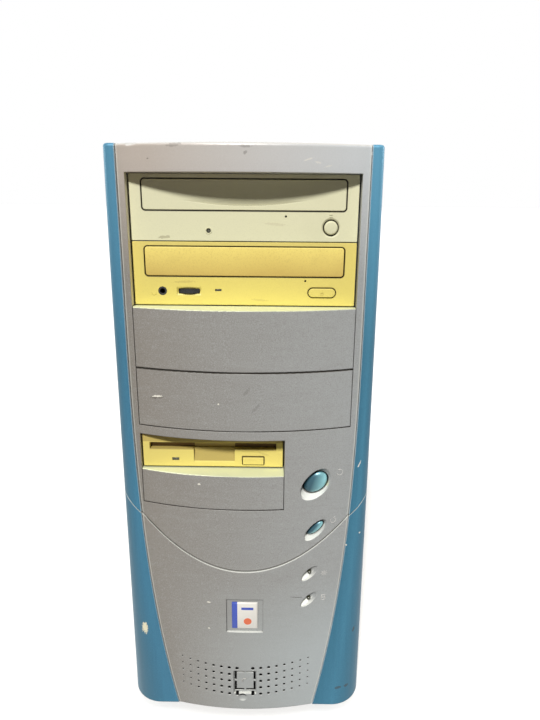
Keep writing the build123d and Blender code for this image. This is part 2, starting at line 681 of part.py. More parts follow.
def clips(heights):
    """Spring tongues that run back from the return walls through slots in the steel front wall."""
    for z in heights:
        for side in (-1, 1):
            x = side * clip_x(z)
            slab(
                x - CLIP_SIZE[0] / 2, x + CLIP_SIZE[0] / 2, FRAME_Y - FASCIA_WALL, FRAME_Y + CLIP_SIZE[1],
                z - CLIP_SIZE[2] / 2, z + CLIP_SIZE[2] / 2,
            )


with BuildPart() as upper_fascia:
    add(fascia_shell.part)
    add(ABOVE_SEAM, mode=Mode.INTERSECT)
    add(bowed_block(-EDGE_TOP, EDGE_TOP, BEZEL_BASE, HEIGHT, UPPER_STEP, FRAME_Y), mode=Mode.INTERSECT)
    top_edges = upper_fascia.faces().sort_by(Axis.Z)[-1].edges()
    fillet(top_edges.sort_by(Axis.Y)[0], radius=TOP_ROUND)
    slab(-BAY_HALF, BAY_HALF, FRONT_Y - OVERCUT, FRAME_Y, BAY_BOTTOM, BAY_TOP, mode=Mode.SUBTRACT)
    slab(SMALL_X0, SMALL_X1, FRONT_Y - OVERCUT, FRAME_Y, SMALL_BOTTOM, SMALL_TOP, mode=Mode.SUBTRACT)
    for x, z, rim, floor, shift in (
        (POWER_X, POWER_Z, POWER_DISH, POWER_FLOOR, POWER_DISH_SHIFT),
        (RESET_X, RESET_Z, RESET_DISH, RESET_FLOOR, RESET_DISH_SHIFT),
    ):
        add(dish_cutter(x, z, rim, floor, shift), mode=Mode.SUBTRACT)
    for x, z, cap in ((POWER_X, POWER_Z, POWER_CAP), (RESET_X, RESET_Z, RESET_CAP)):
        hole = (cap[0] + BUTTON_GAP, cap[1] + BUTTON_GAP)
        add(ellipse_prism(x, z, hole, FRONT_Y, FRAME_Y), mode=Mode.SUBTRACT)
    clips(UPPER_CLIP_ZS)
keep(upper_fascia.part, "upper_fascia")

with BuildPart() as lower_fascia:
    add(fascia_shell.part)
    add(BELOW_SEAM, mode=Mode.INTERSECT)
    for lamp_z in LAMP_ZS:
        add(leaf_cutter(LAMP_X, lamp_z), mode=Mode.SUBTRACT)
        rod_y(LAMP_X, lamp_z, LAMP_RADIUS + RUN, FRONT_Y, FRAME_Y, mode=Mode.SUBTRACT)
    slab(
        -BADGE_HALF, BADGE_HALF, FRONT_Y - OVERCUT, FRONT_Y + BADGE_DEPTH, BADGE_RECESS[0], BADGE_RECESS[1],
        mode=Mode.SUBTRACT,
    )
    # The knock-out is a recess with a square plate that four small tabs hold
    half_x, half_z = KNOCKOUT_HALF
    plate_x, plate_z = KNOCKOUT_PLATE
    slab(
        -half_x, half_x, FRONT_Y - OVERCUT, FRONT_Y + KNOCKOUT_DEPTH,
        KNOCKOUT_Z - half_z, KNOCKOUT_Z + half_z, mode=Mode.SUBTRACT,
    )
    with BuildSketch(front_plane(FRONT_Y + PAD_DEPTH + OVERCUT)):
        with Locations((0, KNOCKOUT_Z)):
            Rectangle(2 * (plate_x + KNOCKOUT_SLOT), 2 * (plate_z + KNOCKOUT_SLOT))
            Rectangle(2 * plate_x, 2 * plate_z, mode=Mode.SUBTRACT)
            Rectangle(2 * half_x, KNOCKOUT_TAB, mode=Mode.SUBTRACT)
            Rectangle(KNOCKOUT_TAB, 2 * half_z, mode=Mode.SUBTRACT)
    extrude(amount=PAD_DEPTH + 2 * OVERCUT, mode=Mode.SUBTRACT)
    dent_x, dent_z, dent_radius, dent_depth = THUMB_DENT
    with Locations((dent_x, FRONT_Y - dent_radius + dent_depth, dent_z)):
        Sphere(dent_radius, mode=Mode.SUBTRACT)
    # Vent holes shrink away from the middle and their rows climb to both sides
    for column in range(1, VENT_COLUMNS + 1):
        shrink = (column - 1) / (VENT_COLUMNS - 1)
        radius = VENT_RADII[0] + (VENT_RADII[1] - VENT_RADII[0]) * shrink
        rows = (0, VENT_ROWS - 1) if column == 1 else range(VENT_ROWS)
        for side in (-1, 1):
            x = side * column * VENT_PITCH
            for row in rows:
                z = VENT_TOP_Z + x**2 / VENT_CLIMB - row * VENT_ROW_PITCH
                rod_y(x, z, radius, FRONT_Y - OVERCUT, FRONT_Y + BEZEL_DEPTH / 2, mode=Mode.SUBTRACT)
    clips(LOWER_CLIP_ZS)
keep(lower_fascia.part, "lower_fascia")


# Blue side trims: a flat run beside the silver face, then a corner that grows towards the foot
def share_down(z):
    """0 at the top of the moulding, 1 at its lower edge."""
    return (HEIGHT - z) / (HEIGHT - BEZEL_BASE)


def trim_block(inset):
    """The right-hand trim as a solid, or the hollow that lies inset behind its skin."""
    low = BEZEL_BASE + inset
    high = HEIGHT - inset
    back = FRAME_Y + inset
    with BuildPart() as block:
        for z in (low, low + (EDGE_BEND_Z - low) / 3, low + 2 * (EDGE_BEND_Z - low) / 3, EDGE_BEND_Z, high):
            root_x = edge_x(z) - TRIM_ROOT - inset
            side_x = TRIM_TOP_HALF + TRIM_FLARE * share_down(z) - inset
            face_y = bow_y(edge_x(z)) - TRIM_PROUD + inset
            corner = TRIM_TOP_CORNER + (TRIM_BASE_CORNER - TRIM_TOP_CORNER) * share_down(z) ** 2 - inset
            with BuildSketch(Plane.XY.offset(z)):
                with BuildLine():
                    Line((root_x, face_y), (side_x - corner, face_y))
                    TangentArc((side_x - corner, face_y), (side_x, face_y + corner), tangent=(1, 0))
                    Polyline((side_x, face_y + corner), (side_x, back), (root_x, back), (root_x, face_y))
                make_face()
        loft()
    return block.part


with BuildPart() as trim_shell:
    add(trim_block(0))
    add(trim_block(TRIM_WALL), mode=Mode.SUBTRACT)
    add(face_prism(FIT), mode=Mode.SUBTRACT)
    top_edges = trim_shell.faces().sort_by(Axis.Z)[-1].edges()
    skin_edges = [edge for edge in top_edges.sort_by(Axis.Y) if edge.center().Y < FRAME_Y - TOP_ROUND]
    fillet([edge for edge in skin_edges if edge.center().X > EDGE_TOP + 2 * FIT], radius=TOP_ROUND)

with BuildPart() as upper_right_trim:
    add(trim_shell.part)
    add(ABOVE_SEAM, mode=Mode.INTERSECT)
keep(upper_right_trim.part, "upper_right_trim")

with BuildPart() as lower_right_trim:
    add(trim_shell.part)
    add(BELOW_SEAM, mode=Mode.INTERSECT)
keep(lower_right_trim.part, "lower_right_trim")

with BuildPart() as upper_left_trim:
    mirror(upper_right_trim.part, about=Plane.YZ)
keep(upper_left_trim.part, "upper_left_trim")

with BuildPart() as lower_left_trim:
    mirror(lower_right_trim.part, about=Plane.YZ)
keep(lower_left_trim.part, "lower_left_trim")

# Bay blanks: bowed plates, flush with the fascia, with a shelf on top and spring legs at both ends


def bay_blank(x0, x1, z0, z1):
    """A bowed plate with a shelf along its top and a leg at each end."""
    back = UPPER_STEP + BLANK_WALL
    behind = bowed_block(
        x0 - OVERCUT, x1 + OVERCUT, z0 - OVERCUT, z1 + OVERCUT, back, FRAME_Y + OVERCUT
    )
    with BuildPart() as plate:
        add(bowed_block(x0, x1, z0, z1, UPPER_STEP, FRAME_Y))
        add(behind, mode=Mode.SUBTRACT)
        face = plate.faces().filter_by(GeomType.CYLINDER).sort_by(Axis.Y)[0]
        fillet(face.edges(), radius=BLANK_ROUND)
        add(bowed_block(x0, x1, z1 - BLANK_SHELF, z1, UPPER_STEP + BLANK_WALL / 2, COLLAR_BACK))
        for end, inward in ((x0, 1), (x1, -1)):
            start = bow_y(end, UPPER_STEP) + BLANK_WALL / 2
            edges = sorted((end, end + inward * BLANK_LEG[0]))
            slab(
                edges[0], edges[1], start, bow_y(end, UPPER_STEP) + BLANK_WALL + BLANK_LEG[1],
                z0 + BLANK_LEG[2], z1 - BLANK_LEG[2],
            )
    return plate.part


with BuildPart() as upper_bay_blank:
    add(bay_blank(-BLANK_HALF, BLANK_HALF, BLANK_SPLIT + FIT, BLANK_SPLIT + BAY_PITCH - FIT))
keep(upper_bay_blank.part, "upper_bay_blank")

with BuildPart() as lower_bay_blank:
    add(bay_blank(-BLANK_HALF, BLANK_HALF, BAY_BOTTOM + FIT, BLANK_SPLIT - FIT))
keep(lower_bay_blank.part, "lower_bay_blank")

with BuildPart() as floppy_bay_blank:
    add(bay_blank(SMALL_X0 + FIT, SMALL_X1 - FIT, SMALL_BOTTOM + FIT, SMALL_TOP - SMALL_PITCH - FIT))
keep(floppy_bay_blank.part, "floppy_bay_blank")


# Power and reset buttons: a rounded cap, a flange that keeps it in, and a stem into its switch


def push_button(x, z, cap):
    """An elliptical cap with a rounded front, held behind its hole by a flange."""
    floor_y = dish_floor_y(x)
    flange_y = floor_y + DISH_FLOOR + FIT
    tightest = cap[1] ** 2 / cap[0]
    with BuildPart() as button:
        add(ellipse_prism(x, z, cap, floor_y - CAP_RISE, flange_y + FLANGE_SHEET))
        fillet(button.faces().sort_by(Axis.Y)[0].edges(), radius=min(CAP_ROUND, ROUND_SHARE * tightest))
        flange = (cap[0] + FLANGE_STEP, cap[1] + FLANGE_STEP)
        add(ellipse_prism(x, z, flange, flange_y, flange_y + FLANGE_SHEET))
        rod_y(x, z, STEM_RADIUS, flange_y, SWITCH_Y + STEM_REACH)
    return button.part


with BuildPart() as power_button:
    add(push_button(POWER_X, POWER_Z, POWER_CAP))
keep(power_button.part, "power_button")

with BuildPart() as reset_button:
    add(push_button(RESET_X, RESET_Z, RESET_CAP))
keep(reset_button.part, "reset_button")

with BuildPart() as front_switches:
    for x, z in ((POWER_X, POWER_Z), (RESET_X, RESET_Z)):
        slab(
            x - SWITCH_SIZE / 2, x + SWITCH_SIZE / 2, SWITCH_Y, FRAME_Y,
            z - SWITCH_SIZE / 2, z + SWITCH_SIZE / 2,
        )
        socket_y = SWITCH_Y + STEM_REACH + 2 * POWER_TRAVEL
        rod_y(x, z, STEM_RADIUS + FIT, SWITCH_Y, socket_y, mode=Mode.SUBTRACT)
keep(front_switches.part, "front_switches")

with BuildPart() as indicator_leds:
    for lamp_z in LAMP_ZS:
        tip_y = bow_y(LAMP_X) + LAMP_LEAF[1] - LAMP_RADIUS
        rod_y(LAMP_X, lamp_z, LAMP_RADIUS, tip_y, tip_y + LAMP_LENGTH)
        with Locations((LAMP_X, tip_y, lamp_z)):
            Sphere(LAMP_RADIUS)
keep(indicator_leds.part, "indicator_leds")

with BuildPart() as badge_plate:
    badge_z = (BADGE_RECESS[0] + BADGE_RECESS[1]) / 2
    badge_back = FRONT_Y + BADGE_DEPTH
    slab(
        -BADGE_PLATE[0] / 2, BADGE_PLATE[0] / 2, badge_back - BADGE_SHEET, badge_back,
        badge_z - BADGE_PLATE[1] / 2, badge_z + BADGE_PLATE[1] / 2,
    )
    fillet(badge_plate.edges().filter_by(Axis.Y), radius=BADGE_SHEET)
keep(badge_plate.part, "badge_plate")

# Optical drives: both have a steel case, a bezel with a tray slot, a tray and its door


def optical_case(z):
    """Steel can of the drive, open at the front, with the rails that carry the tray."""
    half = DRIVE_WIDTH / 2
    low = z - DRIVE_HEIGHT / 2
    rail_top = z + DOOR_RISE - TRAY_HEIGHT / 2 - FIT
    with BuildPart() as case:
        slab(-half, half, CASE_Y0, CASE_Y1, low, low + DRIVE_HEIGHT)
        slab(
            -half + CASE_WALL, half - CASE_WALL, CASE_Y0 - OVERCUT, CASE_Y1 - CASE_WALL,
            low + CASE_WALL, low + DRIVE_HEIGHT - CASE_WALL, mode=Mode.SUBTRACT,
        )
        for side in (-1, 1):
            edges = sorted((side * half, side * (half - CASE_WALL - TRAY_RAIL[0])))
            slab(edges[0], edges[1], CASE_Y0, CASE_Y1 - CASE_WALL, rail_top - TRAY_RAIL[1], rail_top)
        for y in DRIVE_SCREW_YS:
            rod_x(
                y, z - DRIVE_SCREW_DROP, DRIVE_SCREW_RADIUS + RUN, -DRIVE_WIDTH, DRIVE_WIDTH,
                mode=Mode.SUBTRACT,
            )
    return case.part


def optical_bezel(z):
    """Face plate with the opening for the tray door."""
    with BuildPart() as bezel:
        slab(
            -BEZEL_WIDTH / 2, BEZEL_WIDTH / 2, DRIVE_FACE_Y, CASE_Y0,
            z - BEZEL_HEIGHT / 2, z + BEZEL_HEIGHT / 2,
        )
        fillet(bezel.edges().filter_by(Axis.Y), radius=DOOR_GAP)
        with BuildSketch(front_plane(CASE_Y0)):
            with Locations((0, z + DOOR_RISE)):
                RectangleRounded(
                    DOOR_WIDTH + 2 * DOOR_GAP, DOOR_HEIGHT + 2 * DOOR_GAP, DOOR_ROUND + DOOR_GAP
                )
        extrude(amount=BEZEL_SHEET + OVERCUT, mode=Mode.SUBTRACT)
    return bezel.part


def bezel_hole(x, z, radius):
    """A round hole right through the bezel of an optical drive."""
    rod_y(x, z, radius, DRIVE_FACE_Y - OVERCUT, CASE_Y0 + OVERCUT, mode=Mode.SUBTRACT)


def optical_tray(z):
    """Disc tray with a well for each disc size and a slot for the spindle and lens."""
    top = z + DOOR_RISE + TRAY_HEIGHT / 2
    front = DRIVE_FACE_Y + DOOR_SHEET
    disc_y = front + DISC_RADIUS + TRAY_RIM
    with BuildPart() as tray:
        slab(-TRAY_WIDTH / 2, TRAY_WIDTH / 2, front, front + TRAY_LENGTH, top - TRAY_HEIGHT, top)
        rod_z(0, disc_y, DISC_RADIUS, top - DISC_WELL, top + OVERCUT, mode=Mode.SUBTRACT)
        rod_z(0, disc_y, SMALL_DISC_RADIUS, top - DISC_WELL - SMALL_DISC_WELL, top, mode=Mode.SUBTRACT)
        slab(
            -TRAY_SLOT[0] / 2, TRAY_SLOT[0] / 2, disc_y - TRAY_SLOT[0] / 2, disc_y + TRAY_SLOT[1],
            top - TRAY_HEIGHT - OVERCUT, top, mode=Mode.SUBTRACT,
        )
    return tray.part


def optical_door(z):
    """Rounded plate on the front of the tray."""
    with BuildPart() as door:
        with BuildSketch(front_plane(DRIVE_FACE_Y + DOOR_SHEET)):
            with Locations((0, z + DOOR_RISE)):
                RectangleRounded(DOOR_WIDTH, DOOR_HEIGHT, DOOR_ROUND)
        extrude(amount=DOOR_SHEET)
        fillet(door.faces().sort_by(Axis.Y)[0].edges(), radius=DOOR_GAP)
    return door.part


for drive, drive_z in (("cd", CD_Z), ("dvd", DVD_Z)):
    with BuildPart() as drive_tray:
        add(optical_tray(drive_z))
    keep(drive_tray.part, f"{drive}_tray")

# The door of the CD writer has a curved crease: a hollow above it that runs out upwards
with BuildPart() as crease_hollow:
    crease_low = CD_Z + CREASE_BASE
    crease_high = crease_low + CREASE_RISE
    with BuildSketch(Plane.YZ.offset(-CREASE_HALF)):
        with BuildLine():
            Polyline(
                (DRIVE_FACE_Y - OVERCUT, crease_low), (DRIVE_FACE_Y + CREASE_DEPTH, crease_low),
                (DRIVE_FACE_Y, crease_high), (DRIVE_FACE_Y - OVERCUT, crease_high), close=True,
            )
        make_face()
    extrude(amount=2 * CREASE_HALF)
    with BuildSketch(front_plane(DRIVE_FACE_Y + 2 * CREASE_DEPTH)):
        with BuildLine():
            ThreePointArc((-CREASE_HALF, crease_high), (0, crease_low), (CREASE_HALF, crease_high))
            Line((CREASE_HALF, crease_high), (-CREASE_HALF, crease_high))
        make_face()
    extrude(amount=2 * CREASE_DEPTH + 2 * OVERCUT, mode=Mode.INTERSECT)

with BuildPart() as cd_tray_door:
    add(optical_door(CD_Z))
    add(crease_hollow.part, mode=Mode.SUBTRACT)
keep(cd_tray_door.part, "cd_tray_door")

with BuildPart() as dvd_tray_door:
    add(optical_door(DVD_Z))
keep(dvd_tray_door.part, "dvd_tray_door")

# CD writer: round eject button in a shallow dish, lamp hole, release hole

with BuildPart() as cd_case:
    add(optical_case(CD_Z))
keep(cd_case.part, "cd_case")

with BuildPart() as cd_bezel:
    add(optical_bezel(CD_Z))
    eject_z = CD_Z - CONTROL_DROP
    with Locations(Location((CD_EJECT_X, DRIVE_FACE_Y, eject_z), (90, 0, 0))):
        wide_end = 2 * CD_EJECT_DISH - CD_EJECT_RADIUS
        Cone(CD_EJECT_RADIUS + EJECT_GAP, wide_end, 2 * DISH_SHALLOW, mode=Mode.SUBTRACT)
    bezel_hole(CD_EJECT_X, eject_z, CD_EJECT_RADIUS + EJECT_GAP)
    bezel_hole(CD_LAMP[0], CD_Z + CD_LAMP[1], CD_LAMP_RADIUS + RUN)
    bezel_hole(CD_RELEASE[0], CD_Z + CD_RELEASE[1], PIN_HOLE)
keep(cd_bezel.part, "cd_bezel")

with BuildPart() as cd_eject_button:
    rod_y(CD_EJECT_X, eject_z, CD_EJECT_RADIUS, DRIVE_FACE_Y - EJECT_PROUD, CASE_Y0 + EJECT_BACK)
    fillet(cd_eject_button.faces().sort_by(Axis.Y)[0].edges(), radius=EJECT_PROUD / 2)
    rod_y(
        CD_EJECT_X, eject_z, CD_EJECT_RADIUS + EJECT_FLANGE, CASE_Y0 + FIT, CASE_Y0 + EJECT_BACK,
    )
keep(cd_eject_button.part, "cd_eject_button")

# DVD reader: headphone jack, volume wheel, lamp slot, release hole and a long eject button

with BuildPart() as dvd_case:
    add(optical_case(DVD_Z))
    post_base = DVD_Z - DRIVE_HEIGHT / 2
    rod_z(WHEEL_X, WHEEL_Y, 2 * WHEEL_POST, post_base, WHEEL_Z - WHEEL_SHEET / 2 - FIT)
    rod_z(WHEEL_X, WHEEL_Y, WHEEL_POST, post_base, WHEEL_Z + WHEEL_SHEET)
keep(dvd_case.part, "dvd_case")

with BuildPart() as dvd_bezel:
    add(optical_bezel(DVD_Z))
    bezel_hole(JACK_X, JACK_Z, JACK_RADIUS + RUN)
    bezel_hole(DVD_RELEASE[0], DVD_Z + DVD_RELEASE[1], PIN_HOLE)
    slot_low = WHEEL_Z - WHEEL_SHEET / 2 - FIT
    slot_high = WHEEL_Z + WHEEL_SHEET / 2 + FIT
    rod_z(WHEEL_X, WHEEL_Y, WHEEL_RADIUS + FIT, slot_low, slot_high, mode=Mode.SUBTRACT)
    scoop_half, scoop_radius, scoop_depth = WHEEL_SCOOP
    rod_x(
        DRIVE_FACE_Y - scoop_radius + scoop_depth, WHEEL_Z, scoop_radius,
        WHEEL_X - scoop_half, WHEEL_X + scoop_half, mode=Mode.SUBTRACT,
    )
    with BuildSketch(front_plane(CASE_Y0)):
        with Locations((DVD_LAMP[0], DVD_Z + DVD_LAMP[1])):
            Rectangle(DVD_LAMP_SIZE[0] + 2 * RUN, DVD_LAMP_SIZE[1] + 2 * RUN)
        with Locations((DVD_EJECT_X, DVD_Z - CONTROL_DROP)):
            SlotOverall(DVD_EJECT_SIZE[0] + 2 * EJECT_GAP, DVD_EJECT_SIZE[1] + 2 * EJECT_GAP)
    extrude(amount=BEZEL_SHEET + OVERCUT, mode=Mode.SUBTRACT)
keep(dvd_bezel.part, "dvd_bezel")

with BuildPart() as dvd_eject_button:
    with BuildSketch(front_plane(CASE_Y0 + EJECT_BACK)):
        with Locations((DVD_EJECT_X, DVD_Z - CONTROL_DROP)):
            SlotOverall(*DVD_EJECT_SIZE)
    extrude(amount=BEZEL_SHEET + EJECT_BACK + EJECT_PROUD)
    fillet(dvd_eject_button.faces().sort_by(Axis.Y)[0].edges(), radius=EJECT_PROUD / 2)
    with BuildSketch(front_plane(CASE_Y0 + EJECT_BACK)):
        with Locations((DVD_EJECT_X, DVD_Z - CONTROL_DROP)):
            SlotOverall(DVD_EJECT_SIZE[0] + 2 * EJECT_FLANGE, DVD_EJECT_SIZE[1] + 2 * EJECT_FLANGE)
    extrude(amount=EJECT_BACK - FIT)
keep(dvd_eject_button.part, "dvd_eject_button")

with BuildPart() as volume_wheel:
    rod_z(WHEEL_X, WHEEL_Y, WHEEL_RADIUS, WHEEL_Z - WHEEL_SHEET / 2, WHEEL_Z + WHEEL_SHEET / 2)
    rod_z(
        WHEEL_X, WHEEL_Y, WHEEL_POST + RUN, WHEEL_Z - WHEEL_SHEET, WHEEL_Z + WHEEL_SHEET,
        mode=Mode.SUBTRACT,
    )
keep(volume_wheel.part, "volume_wheel")

with BuildPart() as headphone_jack:
    rod_y(JACK_X, JACK_Z, JACK_RADIUS, DRIVE_FACE_Y, CASE_Y0)
    jack_half = JACK_BODY[0] / 2
    slab(
        JACK_X - jack_half, JACK_X + jack_half, CASE_Y0, CASE_Y0 + JACK_BODY[1],
        JACK_Z - jack_half, JACK_Z + jack_half,
    )
    bore_end = DRIVE_FACE_Y + JACK_BORE_LENGTH
    rod_y(JACK_X, JACK_Z, JACK_BORE, DRIVE_FACE_Y - OVERCUT, bore_end, mode=Mode.SUBTRACT)
keep(headphone_jack.part, "headphone_jack")

# Floppy drive: bezel with a slot, a thumb notch, a lamp and a button, and a shutter behind the slot

with BuildPart() as floppy_bezel:
    slab(
        SMALL_X - SMALL_WIDTH / 2, SMALL_X + SMALL_WIDTH / 2, FLOPPY_FACE_Y, FLOPPY_Y0,
        FLOPPY_Z0, FLOPPY_Z0 + SMALL_HEIGHT,
    )
    fillet(floppy_bezel.faces().sort_by(Axis.Y)[0].edges(), radius=DOOR_GAP)
    slab(
        SMALL_X - SLOT_WIDTH / 2, SMALL_X + SLOT_WIDTH / 2, FLOPPY_FACE_Y - OVERCUT, FLOPPY_Y0 + OVERCUT,
        SLOT_Z0, SLOT_Z1, mode=Mode.SUBTRACT,
    )
    with BuildSketch(Plane.YZ.offset(NOTCH[0])):
        with BuildLine():
            Polyline(
                (FLOPPY_FACE_Y, SLOT_Z0 - NOTCH_DROP), (FLOPPY_Y0 - FLOPPY_WALL, SLOT_Z0),
                (FLOPPY_FACE_Y, SLOT_Z0), close=True,
            )
        make_face()
    extrude(amount=NOTCH[1] - NOTCH[0], mode=Mode.SUBTRACT)
    with BuildSketch(front_plane(FLOPPY_Y0)):
        with Locations((FLOPPY_LAMP[0], FLOPPY_Z0 + FLOPPY_LAMP[1])):
            Rectangle(FLOPPY_LAMP_SIZE[0] + 2 * RUN, FLOPPY_LAMP_SIZE[1] + 2 * RUN)
        with Locations((FLOPPY_EJECT[0], FLOPPY_Z0 + FLOPPY_EJECT[1])):
            Rectangle(FLOPPY_EJECT_SIZE[0] + 2 * EJECT_GAP, FLOPPY_EJECT_SIZE[1] + 2 * EJECT_GAP)
    extrude(amount=FLOPPY_SHEET + OVERCUT, mode=Mode.SUBTRACT)
    # Ears behind the slot hold the pins of the shutter
    for side in (-1, 1):
        inner = SMALL_X + side * (SHUTTER_HALF + FIT)
        edges = sorted((inner, inner + side * EAR[0]))
        slab(edges[0], edges[1], FLOPPY_Y0, FLOPPY_Y0 + EAR[1], HINGE_Z - EAR[1] / 2, HINGE_Z + EAR[1] / 2)
    rod_x(
        HINGE_Y, HINGE_Z, SHUTTER_PIN + RUN, SMALL_X - SMALL_WIDTH / 2, SMALL_X + SMALL_WIDTH / 2,
        mode=Mode.SUBTRACT,
    )
keep(floppy_bezel.part, "floppy_bezel")

with BuildPart() as floppy_shutter:
    slab(
        SMALL_X - SHUTTER_HALF, SMALL_X + SHUTTER_HALF,
        HINGE_Y - SHUTTER_SHEET / 2, HINGE_Y + SHUTTER_SHEET / 2, SLOT_Z0 - FIT, HINGE_Z,
    )
    pin_reach = SHUTTER_HALF + FIT + EAR[0]
    rod_x(HINGE_Y, HINGE_Z, SHUTTER_PIN, SMALL_X - pin_reach, SMALL_X + pin_reach)
keep(floppy_shutter.part, "floppy_shutter")

with BuildPart() as floppy_eject_button:
    eject_x = FLOPPY_EJECT[0]
    eject_z = FLOPPY_Z0 + FLOPPY_EJECT[1]
    half_x = FLOPPY_EJECT_SIZE[0] / 2
    half_z = FLOPPY_EJECT_SIZE[1] / 2
    flange_half = half_x + EJECT_FLANGE
    flange_y = FLOPPY_Y0 + FLOPPY_TRAVEL
    slab(
        eject_x - half_x, eject_x + half_x, FLOPPY_FACE_Y - EJECT_PROUD, flange_y + EJECT_BACK,
        eject_z - half_z, eject_z + half_z,
    )
    fillet(floppy_eject_button.faces().sort_by(Axis.Y)[0].edges(), radius=EJECT_PROUD / 2)
    slab(
        eject_x - flange_half, eject_x + flange_half, flange_y + FIT, flange_y + EJECT_BACK,
        eject_z - half_z, eject_z + half_z,
    )
keep(floppy_eject_button.part, "floppy_eject_button")

with BuildPart() as floppy_case:
    slab(
        SMALL_X - SMALL_WIDTH / 2, SMALL_X + SMALL_WIDTH / 2, FLOPPY_Y0, FLOPPY_FACE_Y + SMALL_LENGTH,
        FLOPPY_Z0, FLOPPY_Z0 + SMALL_HEIGHT,
    )
    slab(
        SMALL_X - SMALL_WIDTH / 2 + FLOPPY_WALL, SMALL_X + SMALL_WIDTH / 2 - FLOPPY_WALL,
        FLOPPY_Y0 - OVERCUT, FLOPPY_FACE_Y + SMALL_LENGTH - FLOPPY_WALL,
        FLOPPY_Z0 + FLOPPY_WALL, FLOPPY_Z0 + SMALL_HEIGHT - FLOPPY_WALL, mode=Mode.SUBTRACT,
    )
    for y in FLOPPY_SCREW_YS:
        rod_x(
            y, FLOPPY_Z0 + FLOPPY_SCREW_RISE, DRIVE_SCREW_RADIUS + RUN,
            SMALL_X - SMALL_WIDTH, SMALL_X + SMALL_WIDTH, mode=Mode.SUBTRACT,
        )
keep(floppy_case.part, "floppy_case")

with BuildPart() as drive_leds:
    rod_y(CD_LAMP[0], CD_Z + CD_LAMP[1], CD_LAMP_RADIUS, DRIVE_FACE_Y + FIT, CASE_Y0)
    with BuildSketch(front_plane(CASE_Y0)):
        with Locations((DVD_LAMP[0], DVD_Z + DVD_LAMP[1])):
            Rectangle(*DVD_LAMP_SIZE)
    extrude(amount=BEZEL_SHEET - FIT)
    with BuildSketch(front_plane(FLOPPY_Y0)):
        with Locations((FLOPPY_LAMP[0], FLOPPY_Z0 + FLOPPY_LAMP[1])):
            Rectangle(*FLOPPY_LAMP_SIZE)
    extrude(amount=FLOPPY_SHEET - FIT)
keep(drive_leds.part, "drive_leds")

# Steel chassis: floor, front and rear walls and top, with flanges that the side panels hook behind


def flanges(z0, z1):
    """The two long flanges of the floor or the top."""
    for side in (-1, 1):
        edges = sorted((side * (FLANGE_HALF - SHEET), side * FLANGE_HALF))
        slab(edges[0], edges[1], INNER_FRONT_Y, INNER_REAR_Y, z0, z1)


with BuildPart() as chassis_floor:
    slab(-WALL_HALF, WALL_HALF, INNER_FRONT_Y, INNER_REAR_Y, FLOOR_Z, FLOOR_TOP)
    flanges(FLOOR_Z, FLOOR_TOP + FLANGE_HEIGHT)
keep(chassis_floor.part, "chassis_floor")

with BuildPart() as chassis_top:
    slab(-WALL_HALF, WALL_HALF, INNER_FRONT_Y, INNER_REAR_Y, TOP_UNDER, TOP_Z)
    flanges(TOP_UNDER - FLANGE_HEIGHT, TOP_Z)
keep(chassis_top.part, "chassis_top")

with BuildPart() as feet:
    for side_x in (-1, 1):
        for foot_y in (INNER_FRONT_Y + FOOT_INSET[1], INNER_REAR_Y - FOOT_INSET[1]):
            with Locations((side_x * (SIDE_HALF - FOOT_INSET[0]), foot_y, FOOT_HEIGHT / 2)):
                Cone(FOOT_RADIUS - FOOT_TAPER, FOOT_RADIUS, FOOT_HEIGHT)
keep(feet.part, "feet")

# The front wall has openings for the drives, slots for the fascia clips and a field of air holes

with BuildPart() as chassis_front:
    slab(-WALL_HALF, WALL_HALF, FRAME_Y, INNER_FRONT_Y, FLOOR_Z, TOP_Z)
    case_half = DRIVE_WIDTH / 2 + FIT
    small_half = SMALL_WIDTH / 2 + FIT
    cut_y0 = FRAME_Y - OVERCUT
    cut_y1 = INNER_FRONT_Y + OVERCUT
    slab(-case_half, case_half, cut_y0, cut_y1, BAY_BOTTOM, BAY_TOP, mode=Mode.SUBTRACT)
    slab(
        SMALL_X - small_half, SMALL_X + small_half, cut_y0, cut_y1, SMALL_BOTTOM, SMALL_TOP,
        mode=Mode.SUBTRACT,
    )
    clip_half_x = CLIP_SIZE[0] / 2 + CLIP_ROOM
    clip_half_z = CLIP_SIZE[2] / 2 + CLIP_ROOM
    for z in UPPER_CLIP_ZS + LOWER_CLIP_ZS:
        for side in (-1, 1):
            x = side * clip_x(z)
            slab(
                x - clip_half_x, x + clip_half_x, cut_y0, cut_y1, z - clip_half_z, z + clip_half_z,
                mode=Mode.SUBTRACT,
            )
    with BuildSketch(front_plane(INNER_FRONT_Y)):
        with Locations((0, AIR_Z)):
            with GridLocations(AIR_PITCH, AIR_PITCH, *AIR_COUNT):
                Circle(AIR_HOLE)
    extrude(amount=SHEET, mode=Mode.SUBTRACT)
keep(chassis_front.part, "chassis_front")

# Drive cages hang from the steel top, the large one above and the small one below it

with BuildPart() as large_drive_cage:
    for side in (-1, 1):
        edges = sorted((side * (CAGE_HALF - SHEET), side * CAGE_HALF))
        slab(edges[0], edges[1], INNER_FRONT_Y, INNER_FRONT_Y + CAGE_DEPTH, SHELF_Z, TOP_UNDER)
    shelf_x0 = min(SMALL_CAGE_X0, -CAGE_HALF)
    slab(shelf_x0, CAGE_HALF, INNER_FRONT_Y, INNER_FRONT_Y + CAGE_DEPTH, SHELF_Z, BAY_BOTTOM)
    for z in (CD_Z, DVD_Z):
        for y in DRIVE_SCREW_YS:
            rod_x(y, z - DRIVE_SCREW_DROP, SCREW_HOLE, -SIDE_HALF, SIDE_HALF, mode=Mode.SUBTRACT)
keep(large_drive_cage.part, "large_drive_cage")

